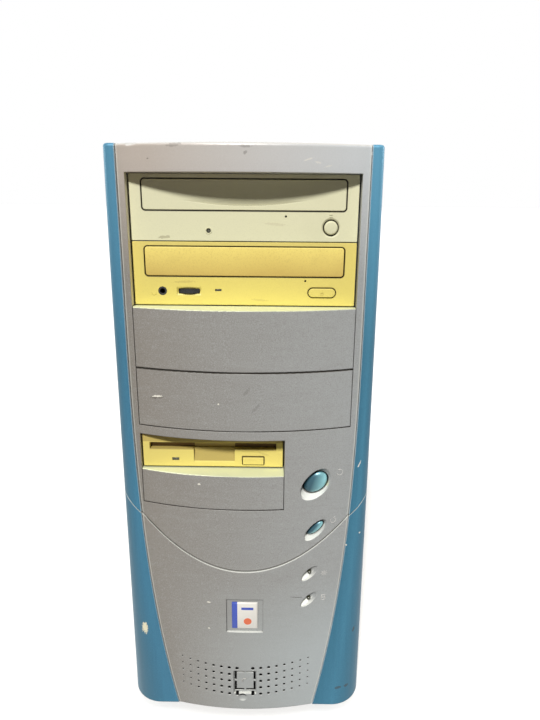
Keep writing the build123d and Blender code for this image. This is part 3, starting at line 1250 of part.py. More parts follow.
with BuildPart() as small_drive_cage:
    for x in (SMALL_CAGE_X0, SMALL_CAGE_X1 - SHEET):
        slab(x, x + SHEET, INNER_FRONT_Y, INNER_FRONT_Y + CAGE_DEPTH, SMALL_CAGE_Z0 - SHEET, SHELF_Z)
    slab(
        SMALL_CAGE_X0, SMALL_CAGE_X1, INNER_FRONT_Y, INNER_FRONT_Y + CAGE_DEPTH,
        SMALL_CAGE_Z0 - SHEET, SMALL_CAGE_Z0,
    )
    for z in (FLOPPY_Z0 + FLOPPY_SCREW_RISE, HARD_Z0 + HARD_SCREW_RISE):
        for y in FLOPPY_SCREW_YS:
            rod_x(y, z, SCREW_HOLE, -SIDE_HALF, SIDE_HALF, mode=Mode.SUBTRACT)
keep(small_drive_cage.part, "small_drive_cage")


with BuildPart() as hard_drive:
    hard_y0 = INNER_FRONT_Y + HARD_SETBACK
    hard_x0 = SMALL_X - SMALL_WIDTH / 2
    slab(hard_x0, hard_x0 + SMALL_WIDTH, hard_y0, hard_y0 + HARD_LENGTH, HARD_Z0, HARD_Z0 + SMALL_HEIGHT)
    top_face = hard_drive.faces().sort_by(Axis.Z)[-1]
    chamfer(top_face.edges(), length=HARD_LID[1], length2=HARD_LID[0], reference=top_face)
    for y in FLOPPY_SCREW_YS:
        for x in (hard_x0, hard_x0 + SMALL_WIDTH):
            rod_x(
                y, HARD_Z0 + HARD_SCREW_RISE, DRIVE_SCREW_RADIUS + RUN,
                x - HARD_SCREW_DEPTH, x + HARD_SCREW_DEPTH, mode=Mode.SUBTRACT,
            )
keep(hard_drive.part, "hard_drive")

with BuildPart() as drive_screws:
    screw_ends = [(-CAGE_HALF, CAGE_HALF, z - DRIVE_SCREW_DROP, DRIVE_SCREW_YS) for z in (CD_Z, DVD_Z)]
    for z in (FLOPPY_Z0 + FLOPPY_SCREW_RISE, HARD_Z0 + HARD_SCREW_RISE):
        screw_ends.append((SMALL_CAGE_X0, SMALL_CAGE_X1, z, FLOPPY_SCREW_YS))
    reach = SHEET + FIT + FLOPPY_WALL
    for left, right, z, ys in screw_ends:
        for y in ys:
            for x, inward in ((left, 1), (right, -1)):
                head_x = x - inward * DRIVE_SCREW_HEAD[1]
                rod_x(y, z, DRIVE_SCREW_HEAD[0], head_x, x)
                rod_x(y, z, DRIVE_SCREW_RADIUS, head_x, x + inward * reach)
keep(drive_screws.part, "drive_screws")

# Board tray, standoffs and motherboard: the board's parts look towards the left side panel

with BuildPart() as board_tray:
    slab(
        TRAY_X0, FLANGE_HALF, BOARD_Y0 - BOARD_INSET, INNER_REAR_Y,
        FLOOR_TOP + FLANGE_HEIGHT, BOARD_Z1 + TRAY_MARGIN,
    )
    with Locations((TRAY_X0 + SHEET / 2, CPU_Y, CPU_Z)):
        Box(2 * SHEET, CPU_SOCKET[0], CPU_SOCKET[0], mode=Mode.SUBTRACT)
keep(board_tray.part, "board_tray")

with BuildPart() as motherboard:
    slab(BOARD_X0, BOARD_X1, BOARD_Y0, BOARD_Y1, BOARD_Z0, BOARD_Z1)
    for y in STANDOFF_YS:
        for z in STANDOFF_ZS:
            rod_x(y, z, BOARD_SCREW + RUN, BOARD_X0 - OVERCUT, BOARD_X1 + OVERCUT, mode=Mode.SUBTRACT)
    for z in SLOT_Z[:CARD_SOCKETS]:
        y1 = BOARD_Y1 - CARD_SOCKET_SETBACK
        slab(
            BOARD_X0 - CARD_SOCKET[2], BOARD_X0, y1 - CARD_SOCKET[1], y1,
            z - CARD_SOCKET[0] / 2, z + CARD_SOCKET[0] / 2,
        )
        slab(
            BOARD_X0 - CARD_SOCKET[2] - OVERCUT, BOARD_X0 - CARD_SOCKET[2] + CARD_GROOVE[1],
            y1 - CARD_SOCKET[1] + SOCKET_END, y1 - SOCKET_END,
            z - CARD_GROOVE[0] / 2, z + CARD_GROOVE[0] / 2, mode=Mode.SUBTRACT,
        )
    for y in MEMORY_YS:
        slab(
            BOARD_X0 - MEMORY_SOCKET[2], BOARD_X0, y - MEMORY_SOCKET[0] / 2, y + MEMORY_SOCKET[0] / 2,
            MEMORY_Z - MEMORY_SOCKET[1] / 2, MEMORY_Z + MEMORY_SOCKET[1] / 2,
        )
        slab(
            BOARD_X0 - MEMORY_SOCKET[2] - OVERCUT, BOARD_X0 - MEMORY_SOCKET[2] + MEMORY_GROOVE[1],
            y - MEMORY_GROOVE[0] / 2, y + MEMORY_GROOVE[0] / 2,
            MEMORY_Z - MEMORY_SOCKET[1] / 2 + SOCKET_END, MEMORY_Z + MEMORY_SOCKET[1] / 2 - SOCKET_END,
            mode=Mode.SUBTRACT,
        )
    slab(
        BOARD_X0 - CPU_SOCKET[1], BOARD_X0, CPU_Y - CPU_SOCKET[0] / 2, CPU_Y + CPU_SOCKET[0] / 2,
        CPU_Z - CPU_SOCKET[0] / 2, CPU_Z + CPU_SOCKET[0] / 2,
    )
keep(motherboard.part, "motherboard")

with BuildPart() as board_standoffs:
    for y in STANDOFF_YS:
        for z in STANDOFF_ZS:
            rod_x(y, z, STANDOFF_RADIUS, BOARD_X1, TRAY_X0)
            rod_x(y, z, BOARD_SCREW, BOARD_X0 - BOARD_SCREW_HEAD[1], BOARD_X1)
            rod_x(y, z, BOARD_SCREW_HEAD[0], BOARD_X0 - BOARD_SCREW_HEAD[1], BOARD_X0)
keep(board_standoffs.part, "board_standoffs")

with BuildPart() as memory_modules:
    for y in MEMORY_YS:
        x1 = BOARD_X0 - MEMORY_SOCKET[2] + MEMORY_GROOVE[1] - FIT
        x0 = x1 - MEMORY_MODULE[2]
        slab(
            x0, x1, y - MEMORY_MODULE[0] / 2, y + MEMORY_MODULE[0] / 2,
            MEMORY_Z - MEMORY_MODULE[1] / 2, MEMORY_Z + MEMORY_MODULE[1] / 2,
        )
        chip_x = BOARD_X0 - MEMORY_SOCKET[2] - MEMORY_CHIP[2] / 2 - MEMORY_CHIP_GAP
        for i in range(MEMORY_CHIPS):
            chip_z = MEMORY_Z + (i - (MEMORY_CHIPS - 1) / 2) * MEMORY_MODULE[1] / MEMORY_CHIPS
            with Locations((chip_x, y, chip_z)):
                Box(MEMORY_CHIP[2], MEMORY_MODULE[0] + 2 * MEMORY_CHIP[0], MEMORY_CHIP[1])
keep(memory_modules.part, "memory_modules")

# Rear ports: blocks that stand on the board and show through the port shield


def port_box(row, grow, y0, y1, mode=Mode.ADD):
    """The block of one port, grown on all sides but its ends."""
    _, low, high, off, reach = row
    slab(
        BOARD_X0 - off - reach - grow, BOARD_X0 - off + grow, y0, y1,
        PORT_Z0 + low - grow, PORT_Z0 + low + high + grow, mode=mode,
    )


with BuildPart() as rear_ports:
    for row in PORTS:
        port_box(row, 0, PORT_FACE_Y - PORT_DEPTH, PORT_FACE_Y)
    for row in PORTS:
        kind, low, high, off, reach = row
        port_z = PORT_Z0 + low + high / 2
        port_x = BOARD_X0 - off - reach / 2
        inner_y = PORT_FACE_Y - SOCKET_DEPTH
        outer_y = PORT_FACE_Y + OVERCUT
        if kind == "stacked round":
            for shift in (-reach / 4, reach / 4):
                rod_y(port_x + shift, port_z, SOCKET_RADIUS, inner_y, outer_y, mode=Mode.SUBTRACT)
        if kind == "stacked flat":
            for shift in (-reach / 4, reach / 4):
                with Locations((port_x + shift, inner_y + SOCKET_DEPTH / 2, port_z)):
                    Box(FLAT_SOCKET[1], SOCKET_DEPTH, FLAT_SOCKET[0], mode=Mode.SUBTRACT)
        if kind == "network":
            with Locations((port_x + reach / 4, inner_y + SOCKET_DEPTH / 2, port_z)):
                Box(NET_SOCKET[1], SOCKET_DEPTH, NET_SOCKET[0], mode=Mode.SUBTRACT)
        if kind == "sound":
            for shift in (-SOUND_PITCH, 0, SOUND_PITCH):
                rod_y(port_x + shift, port_z, SOUND_BORE, inner_y, outer_y, mode=Mode.SUBTRACT)
        if kind.endswith("shell"):
            with Locations((port_x, inner_y + SOCKET_DEPTH / 2, port_z)):
                Box(reach - 2 * SHELL_RIM, SOCKET_DEPTH, high - 2 * SHELL_RIM, mode=Mode.SUBTRACT)
            with Locations((port_x, inner_y + SOCKET_DEPTH / 2, port_z)):
                Box(reach - 4 * SHELL_RIM, SOCKET_DEPTH, high - 4 * SHELL_RIM)
keep(rear_ports.part, "rear_ports")

with BuildPart() as port_shield:
    slab(
        PORT_X0 + FIT, PORT_X1 - FIT, REAR_Y - SHIELD_SHEET, REAR_Y, PORT_Z0 + FIT, PORT_Z1 - FIT,
    )
    for row in PORTS:
        port_box(row, FIT, REAR_Y - SHEET, REAR_Y + SHEET, mode=Mode.SUBTRACT)
keep(port_shield.part, "port_shield")

# Expansion slots: one holds the graphics card, the rest have covers


def slot_cover(z):
    """A bracket on the inside of the rear wall, with its screw at the end away from the board."""
    slab(SLOT_X1 - COVER_LENGTH, SLOT_X1, COVER_Y0, INNER_REAR_Y, z - COVER_WIDTH / 2, z + COVER_WIDTH / 2)
    screw_x = SLOT_X1 - COVER_LENGTH + COVER_SCREW[0] + COVER_SCREW[1]
    rod_y(screw_x, z, COVER_SCREW[0], COVER_Y0 - COVER_SCREW[1], COVER_Y0)


with BuildPart() as slot_covers:
    for z in SLOT_Z[1:]:
        slot_cover(z)
keep(slot_covers.part, "slot_covers")

with BuildPart() as graphics_card:
    slot_cover(CARD_Z)
    card_x1 = BOARD_X0 - CARD_SOCKET[2] - FIT
    slab(
        card_x1 - CARD_HEIGHT, card_x1, COVER_Y0 - CARD_LENGTH, COVER_Y0,
        CARD_Z - CARD_SHEET / 2, CARD_Z + CARD_SHEET / 2,
    )
    edge_y1 = BOARD_Y1 - CARD_SOCKET_SETBACK - SOCKET_END - FIT
    edge_y0 = edge_y1 - CARD_SOCKET[1] + 2 * (SOCKET_END + FIT)
    slab(
        card_x1, card_x1 + CARD_GROOVE[1], edge_y0, edge_y1,
        CARD_Z - CARD_SHEET / 2, CARD_Z + CARD_SHEET / 2,
    )
    slab(
        VIDEO_PORT_X - VIDEO_PORT[1], VIDEO_PORT_X, COVER_Y0 - VIDEO_PORT[0], REAR_Y + VIDEO_PORT[2] / 2,
        CARD_Z - VIDEO_PORT[2], CARD_Z + VIDEO_PORT[2] / 2,
    )
    sink_x = card_x1 - CARD_HEIGHT / 2
    sink_y = COVER_Y0 - CARD_LENGTH / 2
    with Locations((sink_x, sink_y, CARD_Z - CARD_SHEET / 2 - CARD_SINK[1] / 2)):
        Box(CARD_SINK[0], CARD_SINK[0], CARD_SINK[1])
keep(graphics_card.part, "graphics_card")


# Fans: a square frame with a motor seat on spokes, and a rotor that runs on the seat's pin


def fan_frame(plane, size, depth, hub):
    """Frame centred on the plane, with its motor seat on the side that the plane looks away from."""
    with BuildPart(plane) as frame:
        Box(size, size, depth)
        Cylinder(size / 2 - FAN_WALL, depth, mode=Mode.SUBTRACT)
        with Locations((0, 0, -depth / 2 + FAN_SEAT / 2)):
            Cylinder(hub, FAN_SEAT)
            Box(size - FAN_WALL, FAN_SPOKE, FAN_SEAT)
            Box(FAN_SPOKE, size - FAN_WALL, FAN_SEAT)
        with Locations((0, 0, -FAN_SEAT / 2)):
            Cylinder(FAN_PIN, depth - FAN_SEAT)
    return frame.part


def fan_rotor(plane, size, depth, hub):
    """Hub with pitched blades, on the pin of the frame."""
    tip = size / 2 - FAN_WALL - FAN_TIP_GAP
    length = depth - FAN_SEAT - 3 * FIT
    chord = (length - 4 * FIT) / sin(radians(FAN_BLADE_PITCH)) * FAN_BLADE_FILL
    with BuildPart(plane) as rotor:
        with Locations((0, 0, FAN_SEAT / 2)):
            Cylinder(hub, length)
            with PolarLocations((tip + hub) / 2 - FAN_BLADE_ROOT, FAN_BLADES):
                Box(tip - hub, chord, FAN_BLADE_SHEET, rotation=(FAN_BLADE_PITCH, 0, 0))
        Cylinder(tip, depth, mode=Mode.INTERSECT)
        Cylinder(FAN_PIN + RUN, depth, mode=Mode.SUBTRACT)
    return rotor.part


# Processor cooler: finned heatsink on the socket, fan on the fins, blowing on to them

with BuildPart() as cpu_heatsink:
    slab(
        SINK_X1 - SINK_BASE, SINK_X1, CPU_Y - SINK_SIZE / 2, CPU_Y + SINK_SIZE / 2,
        CPU_Z - SINK_SIZE / 2, CPU_Z + SINK_SIZE / 2,
    )
    for i in range(FIN_COUNT):
        fin_y = CPU_Y - SINK_SIZE / 2 + FIN_SHEET / 2 + i * (SINK_SIZE - FIN_SHEET) / (FIN_COUNT - 1)
        slab(
            SINK_X0, SINK_X1 - SINK_BASE, fin_y - FIN_SHEET / 2, fin_y + FIN_SHEET / 2,
            CPU_Z - SINK_SIZE / 2, CPU_Z + SINK_SIZE / 2,
        )
keep(cpu_heatsink.part, "cpu_heatsink")

CPU_FAN_PLANE = Plane(origin=(SINK_X0 - CPU_FAN_DEPTH / 2, CPU_Y, CPU_Z), x_dir=(0, 1, 0), z_dir=(-1, 0, 0))

with BuildPart() as cpu_fan_frame:
    add(fan_frame(CPU_FAN_PLANE, SINK_SIZE, CPU_FAN_DEPTH, CPU_HUB))
keep(cpu_fan_frame.part, "cpu_fan_frame")

with BuildPart() as cpu_fan_rotor:
    add(fan_rotor(CPU_FAN_PLANE, SINK_SIZE, CPU_FAN_DEPTH, CPU_HUB))
keep(cpu_fan_rotor.part, "cpu_fan_rotor")

# Power supply: steel box under the top, its fan blows out through a stamped grille in the rear wall

with BuildPart() as power_supply_case:
    half = SUPPLY_WIDTH / 2
    slab(-half, half, SUPPLY_Y0, INNER_REAR_Y, SUPPLY_Z0, SUPPLY_Z1)
    slab(
        -half + SUPPLY_WALL, half - SUPPLY_WALL, SUPPLY_Y0 + SUPPLY_WALL, INNER_REAR_Y - SUPPLY_WALL,
        SUPPLY_Z0 + SUPPLY_WALL, SUPPLY_Z1 - SUPPLY_WALL, mode=Mode.SUBTRACT,
    )
    with BuildSketch(front_plane(INNER_REAR_Y)):
        with Locations((SUPPLY_FAN_X, SUPPLY_Z)):
            for radius in reversed(GRILLE_RADII):
                Circle(radius)
                Circle(radius - GRILLE_SLOT, mode=Mode.SUBTRACT)
            Rectangle(SUPPLY_FAN, GRILLE_SPOKE, rotation=45, mode=Mode.SUBTRACT)
            Rectangle(GRILLE_SPOKE, SUPPLY_FAN, rotation=45, mode=Mode.SUBTRACT)
        with Locations((INLET_X, INLET_Z)):
            Rectangle(INLET_OPENING[0] + 2 * FIT, INLET_OPENING[1] + 2 * FIT)
        with Locations((INLET_X, ROCKER_Z)):
            Rectangle(ROCKER_OPENING[0] + 2 * FIT, ROCKER_OPENING[1] + 2 * FIT)
    extrude(amount=SUPPLY_WALL, mode=Mode.SUBTRACT)
    with BuildSketch(front_plane(SUPPLY_Y0 + SUPPLY_WALL)):
        with Locations((0, SUPPLY_Z)):
            with GridLocations(VENT_SLOT_PITCH, 1, VENT_SLOT_COUNT, 1):
                SlotOverall(VENT_SLOT[1], VENT_SLOT[0], rotation=90)
    extrude(amount=SUPPLY_WALL, mode=Mode.SUBTRACT)
keep(power_supply_case.part, "power_supply_case")

SUPPLY_FAN_PLANE = Plane(origin=(SUPPLY_FAN_X, SUPPLY_FAN_Y, SUPPLY_Z), x_dir=(1, 0, 0), z_dir=(0, -1, 0))

with BuildPart() as power_supply_fan_frame:
    add(fan_frame(SUPPLY_FAN_PLANE, SUPPLY_FAN, SUPPLY_FAN_DEPTH, SUPPLY_HUB))
keep(power_supply_fan_frame.part, "power_supply_fan_frame")

with BuildPart() as power_supply_fan_rotor:
    add(fan_rotor(SUPPLY_FAN_PLANE, SUPPLY_FAN, SUPPLY_FAN_DEPTH, SUPPLY_HUB))
keep(power_supply_fan_rotor.part, "power_supply_fan_rotor")

# Mains inlet, with three pins in its recess, and the frame of the rocker switch beside it

with BuildPart() as mains_inlet:
    for x, z, opening, flange, depth in (
        (INLET_X, INLET_Z, INLET_OPENING, INLET_FLANGE, INLET_DEPTH),
        (INLET_X, ROCKER_Z, ROCKER_OPENING, ROCKER_FRAME, INLET_DEPTH),
    ):
        slab(
            x - opening[0] / 2, x + opening[0] / 2, INNER_REAR_Y - depth, INNER_REAR_Y,
            z - opening[1] / 2, z + opening[1] / 2,
        )
        slab(
            x - flange[0] / 2, x + flange[0] / 2, INNER_REAR_Y, INNER_REAR_Y + flange[2],
            z - flange[1] / 2, z + flange[1] / 2,
        )
    inlet_face = INNER_REAR_Y + INLET_FLANGE[2]
    recess_y = inlet_face - INLET_RECESS[2]
    slab(
        INLET_X - INLET_RECESS[0] / 2, INLET_X + INLET_RECESS[0] / 2, recess_y, inlet_face + OVERCUT,
        INLET_Z - INLET_RECESS[1] / 2, INLET_Z + INLET_RECESS[1] / 2, mode=Mode.SUBTRACT,
    )
    for shift_x in (-INLET_PIN_SPREAD, 0, INLET_PIN_SPREAD):
        shift_z = -INLET_PIN_STAGGER if shift_x else INLET_PIN_STAGGER
        with Locations((INLET_X + shift_x, recess_y + INLET_PIN[2] / 2, INLET_Z + shift_z)):
            Box(INLET_PIN[0], INLET_PIN[2], INLET_PIN[1])
    slab(
        INLET_X - ROCKER_RADIUS - FIT, INLET_X + ROCKER_RADIUS + FIT,
        INNER_REAR_Y - INLET_DEPTH + SUPPLY_WALL, INNER_REAR_Y + ROCKER_FRAME[2] + OVERCUT,
        ROCKER_Z - ROCKER_WIDTH / 2 - FIT, ROCKER_Z + ROCKER_WIDTH / 2 + FIT, mode=Mode.SUBTRACT,
    )
    rod_z(
        INLET_X, ROCKER_PIVOT_Y, ROCKER_PIN + RUN, ROCKER_Z - ROCKER_OPENING[1] / 2 - OVERCUT,
        ROCKER_Z + ROCKER_OPENING[1] / 2 + OVERCUT, mode=Mode.SUBTRACT,
    )
keep(mains_inlet.part, "mains_inlet")

with BuildPart() as mains_switch:
    with BuildSketch(Plane.XY.offset(ROCKER_Z - ROCKER_WIDTH / 2)):
        with Locations((INLET_X, ROCKER_PIVOT_Y)):
            Circle(ROCKER_RADIUS)
            for tilt in (-ROCKER_TILT, ROCKER_TILT):
                cut_turn = ROCKER_TILT + tilt
                with Locations(Location((0, 0, 0), (0, 0, cut_turn))):
                    with Locations((0, ROCKER_SINK + ROCKER_FRAME[2] + ROCKER_RADIUS)):
                        Rectangle(4 * ROCKER_RADIUS, 2 * ROCKER_RADIUS, mode=Mode.SUBTRACT)
    extrude(amount=ROCKER_WIDTH)
    rod_z(
        INLET_X, ROCKER_PIVOT_Y, ROCKER_PIN, ROCKER_Z - ROCKER_OPENING[1] / 2 + FIT,
        ROCKER_Z + ROCKER_OPENING[1] / 2 - FIT,
    )
keep(mains_switch.part, "mains_switch")

# The rear wall has openings for the power supply, the ports, the slots, the panel lips and the air

with BuildPart() as chassis_rear:
    slab(-WALL_HALF, WALL_HALF, INNER_REAR_Y, REAR_Y, FLOOR_Z, TOP_Z)
    cut_y0 = INNER_REAR_Y - OVERCUT
    cut_y1 = REAR_Y + OVERCUT
    slab(
        -SUPPLY_WIDTH / 2 + SUPPLY_MARGIN[0], SUPPLY_WIDTH / 2 - SUPPLY_MARGIN[0], cut_y0, cut_y1,
        SUPPLY_Z0 + SUPPLY_MARGIN[1], SUPPLY_Z1 - SUPPLY_MARGIN[1], mode=Mode.SUBTRACT,
    )
    slab(PORT_X0, PORT_X1, cut_y0, cut_y1, PORT_Z0, PORT_Z1, mode=Mode.SUBTRACT)
    for z in SLOT_Z:
        slab(
            SLOT_X1 - SLOT_OPENING[1] - SLOT_RIM, SLOT_X1 - SLOT_RIM, cut_y0, cut_y1,
            z - SLOT_OPENING[0] / 2, z + SLOT_OPENING[0] / 2, mode=Mode.SUBTRACT,
        )
    air_z = (PORT_Z0 + PORT_Z1) / 2
    air_steps = int(REAR_AIR_REACH / REAR_AIR_PITCH)
    with BuildSketch(front_plane(REAR_Y)):
        for row in range(-air_steps, air_steps + 1):
            for column in range(-air_steps, air_steps + 1):
                shift = (column * REAR_AIR_PITCH, row * REAR_AIR_PITCH)
                if shift[0] ** 2 + shift[1] ** 2 <= REAR_AIR_REACH**2:
                    with Locations((REAR_AIR_X + shift[0], air_z + shift[1])):
                        Circle(REAR_AIR_RADIUS)
    extrude(amount=SHEET, mode=Mode.SUBTRACT)
    for side in (-1, 1):
        edges = sorted((side * (SIDE_HALF - SHEET - PANEL_LIP - FIT), side * SIDE_HALF))
        for z0, z1 in ((FLOOR_TOP, FLOOR_TOP + SHEET + 2 * FIT), (TOP_UNDER - SHEET - 2 * FIT, TOP_UNDER)):
            slab(edges[0], edges[1], cut_y0, cut_y1, z0, z1, mode=Mode.SUBTRACT)
        for z in PANEL_SCREW_ZS:
            rod_y(side * PANEL_SCREW_X, z, PANEL_SCREW_RADIUS + FIT, cut_y0, cut_y1, mode=Mode.SUBTRACT)
keep(chassis_rear.part, "chassis_rear")

# Side panels: sheets with lips that hook behind the floor and the top, and a tab for the rear screws

with BuildPart() as right_side_panel:
    slab(SIDE_HALF - SHEET, SIDE_HALF, FRAME_Y + PANEL_GAP, REAR_Y + SHEET, FLOOR_Z, TOP_Z)
    for z in (FLOOR_TOP + FIT, TOP_UNDER - SHEET - FIT):
        slab(
            SIDE_HALF - SHEET - PANEL_LIP, SIDE_HALF - SHEET, INNER_FRONT_Y + LIP_SETBACK,
            INNER_REAR_Y - LIP_SETBACK, z, z + SHEET,
        )
    slab(
        SIDE_HALF - PANEL_TAB, SIDE_HALF - SHEET, REAR_Y, REAR_Y + SHEET,
        FLOOR_Z + TAB_MARGIN, TOP_Z - TAB_MARGIN,
    )
    for z in PANEL_SCREW_ZS:
        rod_y(
            PANEL_SCREW_X, z, PANEL_SCREW_RADIUS + RUN, REAR_Y - OVERCUT, REAR_Y + SHEET + OVERCUT,
            mode=Mode.SUBTRACT,
        )
keep(right_side_panel.part, "right_side_panel")

with BuildPart() as left_side_panel:
    mirror(right_side_panel.part, about=Plane.YZ)
keep(left_side_panel.part, "left_side_panel")

with BuildPart() as right_panel_screws:
    for z in PANEL_SCREW_ZS:
        rod_y(PANEL_SCREW_X, z, PANEL_SCREW_RADIUS, INNER_REAR_Y - PANEL_SCREW_REACH, REAR_Y + SHEET + FIT)
        rod_y(PANEL_SCREW_X, z, PANEL_SCREW_HEAD, REAR_Y + SHEET, REAR_Y + SHEET + SCREW_HEAD)
keep(right_panel_screws.part, "right_panel_screws")

with BuildPart() as left_panel_screws:
    mirror(right_panel_screws.part, about=Plane.YZ)
keep(left_panel_screws.part, "left_panel_screws")
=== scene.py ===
from math import asin, cos, pi, radians, sin, sqrt

import bpy
from mathutils import Euler, Matrix, Vector


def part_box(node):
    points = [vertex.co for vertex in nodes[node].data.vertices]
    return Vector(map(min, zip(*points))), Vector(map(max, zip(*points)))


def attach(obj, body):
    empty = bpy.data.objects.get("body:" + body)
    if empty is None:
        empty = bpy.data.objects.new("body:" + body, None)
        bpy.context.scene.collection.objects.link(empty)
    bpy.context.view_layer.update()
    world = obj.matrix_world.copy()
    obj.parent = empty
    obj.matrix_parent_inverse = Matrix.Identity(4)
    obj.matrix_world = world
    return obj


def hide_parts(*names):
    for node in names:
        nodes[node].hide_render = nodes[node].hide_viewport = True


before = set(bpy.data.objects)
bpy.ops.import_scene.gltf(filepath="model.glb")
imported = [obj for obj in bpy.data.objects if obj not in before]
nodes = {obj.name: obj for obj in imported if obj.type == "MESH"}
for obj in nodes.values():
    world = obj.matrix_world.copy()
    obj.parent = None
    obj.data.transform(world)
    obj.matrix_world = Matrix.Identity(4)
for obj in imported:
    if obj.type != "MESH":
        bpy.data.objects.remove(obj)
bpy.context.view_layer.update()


# Chassis
# The frame of the machine: floor, walls, drive cages and board tray, bent from zinc-plated steel sheet
# and riveted together. The plating shows a faint spangle, fine rolling lines and dull patches.
def tint(red, green, blue, factor=1.0):
    """A colour as read off a screen, 0 to 255, as a shader takes it, made lighter or darker by a factor."""
    shares = [value / 255 for value in (red, green, blue)]
    linear = [((s + 0.055) / 1.055) ** 2.4 if s > 0.04 else s / 12.92 for s in shares]
    return tuple(min(1.0, channel * factor) for channel in linear) + (1.0,)


def new_finish(name, **surface):
    """A finish whose even values are set on the shader's own sockets."""
    finish = bpy.data.materials.new(name)
    finish.use_nodes = True
    for socket, value in surface.items():
        finish.node_tree.nodes["Principled BSDF"].inputs[socket.replace("_", " ")].default_value = value
    return finish


def add_node(owner, kind, inputs, **settings):
    """A node in the tree of a finish or a pattern, with plain inputs set on it and sockets linked to it."""
    tree = owner.id_data if isinstance(owner, bpy.types.NodeSocket) else owner.node_tree
    made = tree.nodes.new("ShaderNode" + kind)
    for name, value in settings.items():
        setattr(made, name, value)
    for name, value in inputs.items():
        if isinstance(value, bpy.types.NodeSocket):
            tree.links.new(value, made.inputs[name])
        else:
            made.inputs[name].default_value = value
    return made


def connect(finish, **sources):
    """Link patterns to the shader's sockets."""
    shader = finish.node_tree.nodes["Principled BSDF"]
    for name, source in sources.items():
        finish.node_tree.links.new(source, shader.inputs[name.replace("_", " ")])


def where(finish):
    """The place on the piece, in metres in the machine's own frame."""
    return add_node(finish, "TexCoord", {}).outputs["Object"]


def placed(finish, vector_type="POINT", **inputs):
    """The place on the piece, shifted, turned or drawn out."""
    inputs["Vector"] = where(finish)
    return add_node(finish, "Mapping", inputs, vector_type=vector_type).outputs["Vector"]


def cloud(finish, scale, detail=2.0, stretch=(1.0, 1.0, 1.0)):
    """A cloudy pattern from 0 to 1, so many features to the metre, drawn out where stretch is small."""
    inputs = {"Vector": placed(finish, Scale=stretch), "Scale": scale, "Detail": detail}
    return add_node(finish, "TexNoise", inputs).outputs["Fac"]


def spread(value, low, high, start=0.0, end=1.0):
    """What lies between low and high, drawn out from start to end."""
    span = {"Value": value, "From Min": low, "From Max": high, "To Min": start, "To Max": end}
    return add_node(value, "MapRange", span).outputs["Result"]


def sums(operation, first, second, **settings):
    """One step of arithmetic on two patterns, or on a pattern and a number."""
    owner = first if isinstance(first, bpy.types.NodeSocket) else second
    return add_node(owner, "Math", {0: first, 1: second}, operation=operation, **settings).outputs[0]


def both(first, second):
    """High where both patterns are high."""
    return sums("MULTIPLY", first, second)


def blend(share, first, second):
    """The first colour, going over to the second where the share is high. Plain ones are screen colours."""
    first, second = (tint(*colour) if isinstance(colour, tuple) else colour for colour in (first, second))
    return add_node(share, "Mix", {0: share, 6: first, 7: second}, data_type="RGBA").outputs[2]


def coats(colour, *layers):
    """Colours laid over a first one in turn, each where its share is high."""
    for share, paint in layers:
        colour = blend(share, colour, paint)
    return colour


def soft_edge(owner, radius):
    """The facing of the surface with its sharp edges rounded off."""
    return add_node(owner, "Bevel", {"Radius": radius}, samples=6).outputs["Normal"]


def relief(height, depth, edge):
    """Bump of a depth in metres, on edges that are rounded off by a radius."""
    inputs = {"Height": height, "Distance": depth, "Normal": soft_edge(height, edge)}
    return add_node(height, "Bump", inputs).outputs["Normal"]


def corner_shade(finish, reach, most):
    """Painted shade, found by ambient occlusion, in corners and gaps narrower than the reach, from 0 to
    most.
    """
    sky = add_node(finish, "AmbientOcclusion", {"Distance": reach}, samples=6)
    return spread(sky.outputs["AO"], 0.75, 0.15, 0.0, most)


def dress(finish, *names):
    """Give solids of the frame a finish in place of their plain one."""
    for name in names:
        for place in nodes[name].material_slots:
            place.material = finish


def zinc_plate(name, light, dark):
    """Zinc-plated sheet, with spangle, rolling lines along the depth, dull handling marks and painted shade
    in its corners.
    """
    finish = new_finish(name, Metallic=0.8)
    spangle = add_node(finish, "TexVoronoi", {"Vector": where(finish), "Scale": 130.0})
    flake = add_node(finish, "SeparateColor", {"Color": spangle.outputs["Color"]}).outputs[0]
    rolling = cloud(finish, 260.0, 3.0, (1.0, 0.03, 1.0))
    dull = spread(cloud(finish, 16.0, 5.0), 0.45, 0.75, 0.0, 0.18)
    share = sums("ADD", both(flake, 0.35), rolling)
    colour = blend(spread(share, 0.3, 0.95), light, dark)
    # Painted shade in the corners of the sheet.
    colour = coats(colour, (dull, (128, 124, 118)), (corner_shade(finish, 0.012, 0.5), (78, 72, 64)))
    rough = sums("ADD", spread(rolling, 0.3, 0.7, 0.3, 0.42), dull)
    connect(finish, Base_Color=colour, Roughness=rough, Normal=relief(rolling, 0.00003, 0.0003))
    return finish


sheet_zinc = zinc_plate("sheet_zinc", (196, 198, 201), (168, 171, 175))
dress(sheet_zinc, "chassis_floor", "chassis_front", "chassis_rear")
dress(sheet_zinc, "large_drive_cage", "small_drive_cage", "board_tray", "slot_covers", "port_shield")


# Feet
# Four soft rubber pads pressed under the floor, gone matt with dust.
def cover(finish, colour, rough, bump, **others):
    """Link a colour, a roughness spread over a pattern and a bump to the shader."""
    connect(finish, Base_Color=colour, Roughness=spread(*rough), Normal=relief(*bump), **others)


def mottled(name, light, dark, fine, rough, bump, wide=None, **surface):
    """A finish of two tones, with roughness and bump by a fine cloud and the tones by it or a wide one."""
    finish = new_finish(name, **surface)
    grain = cloud(finish, *fine)
    share = spread(cloud(finish, *wide[0]), *wide[1]) if wide else grain
    cover(finish, blend(share, light, dark), (grain, *rough), (grain, *bump))
    return finish


RUBBER_DUST = ((60.0, 4.0), (0.45, 0.75, 0.0, 0.5))
foot_rubber = mottled(
    "foot_rubber", (36, 36, 37), (98, 95, 90), (900.0, 4.0), (0.2, 0.8, 0.7, 0.95), (0.0001, 0.0006),
    RUBBER_DUST)
dress(foot_rubber, "feet")


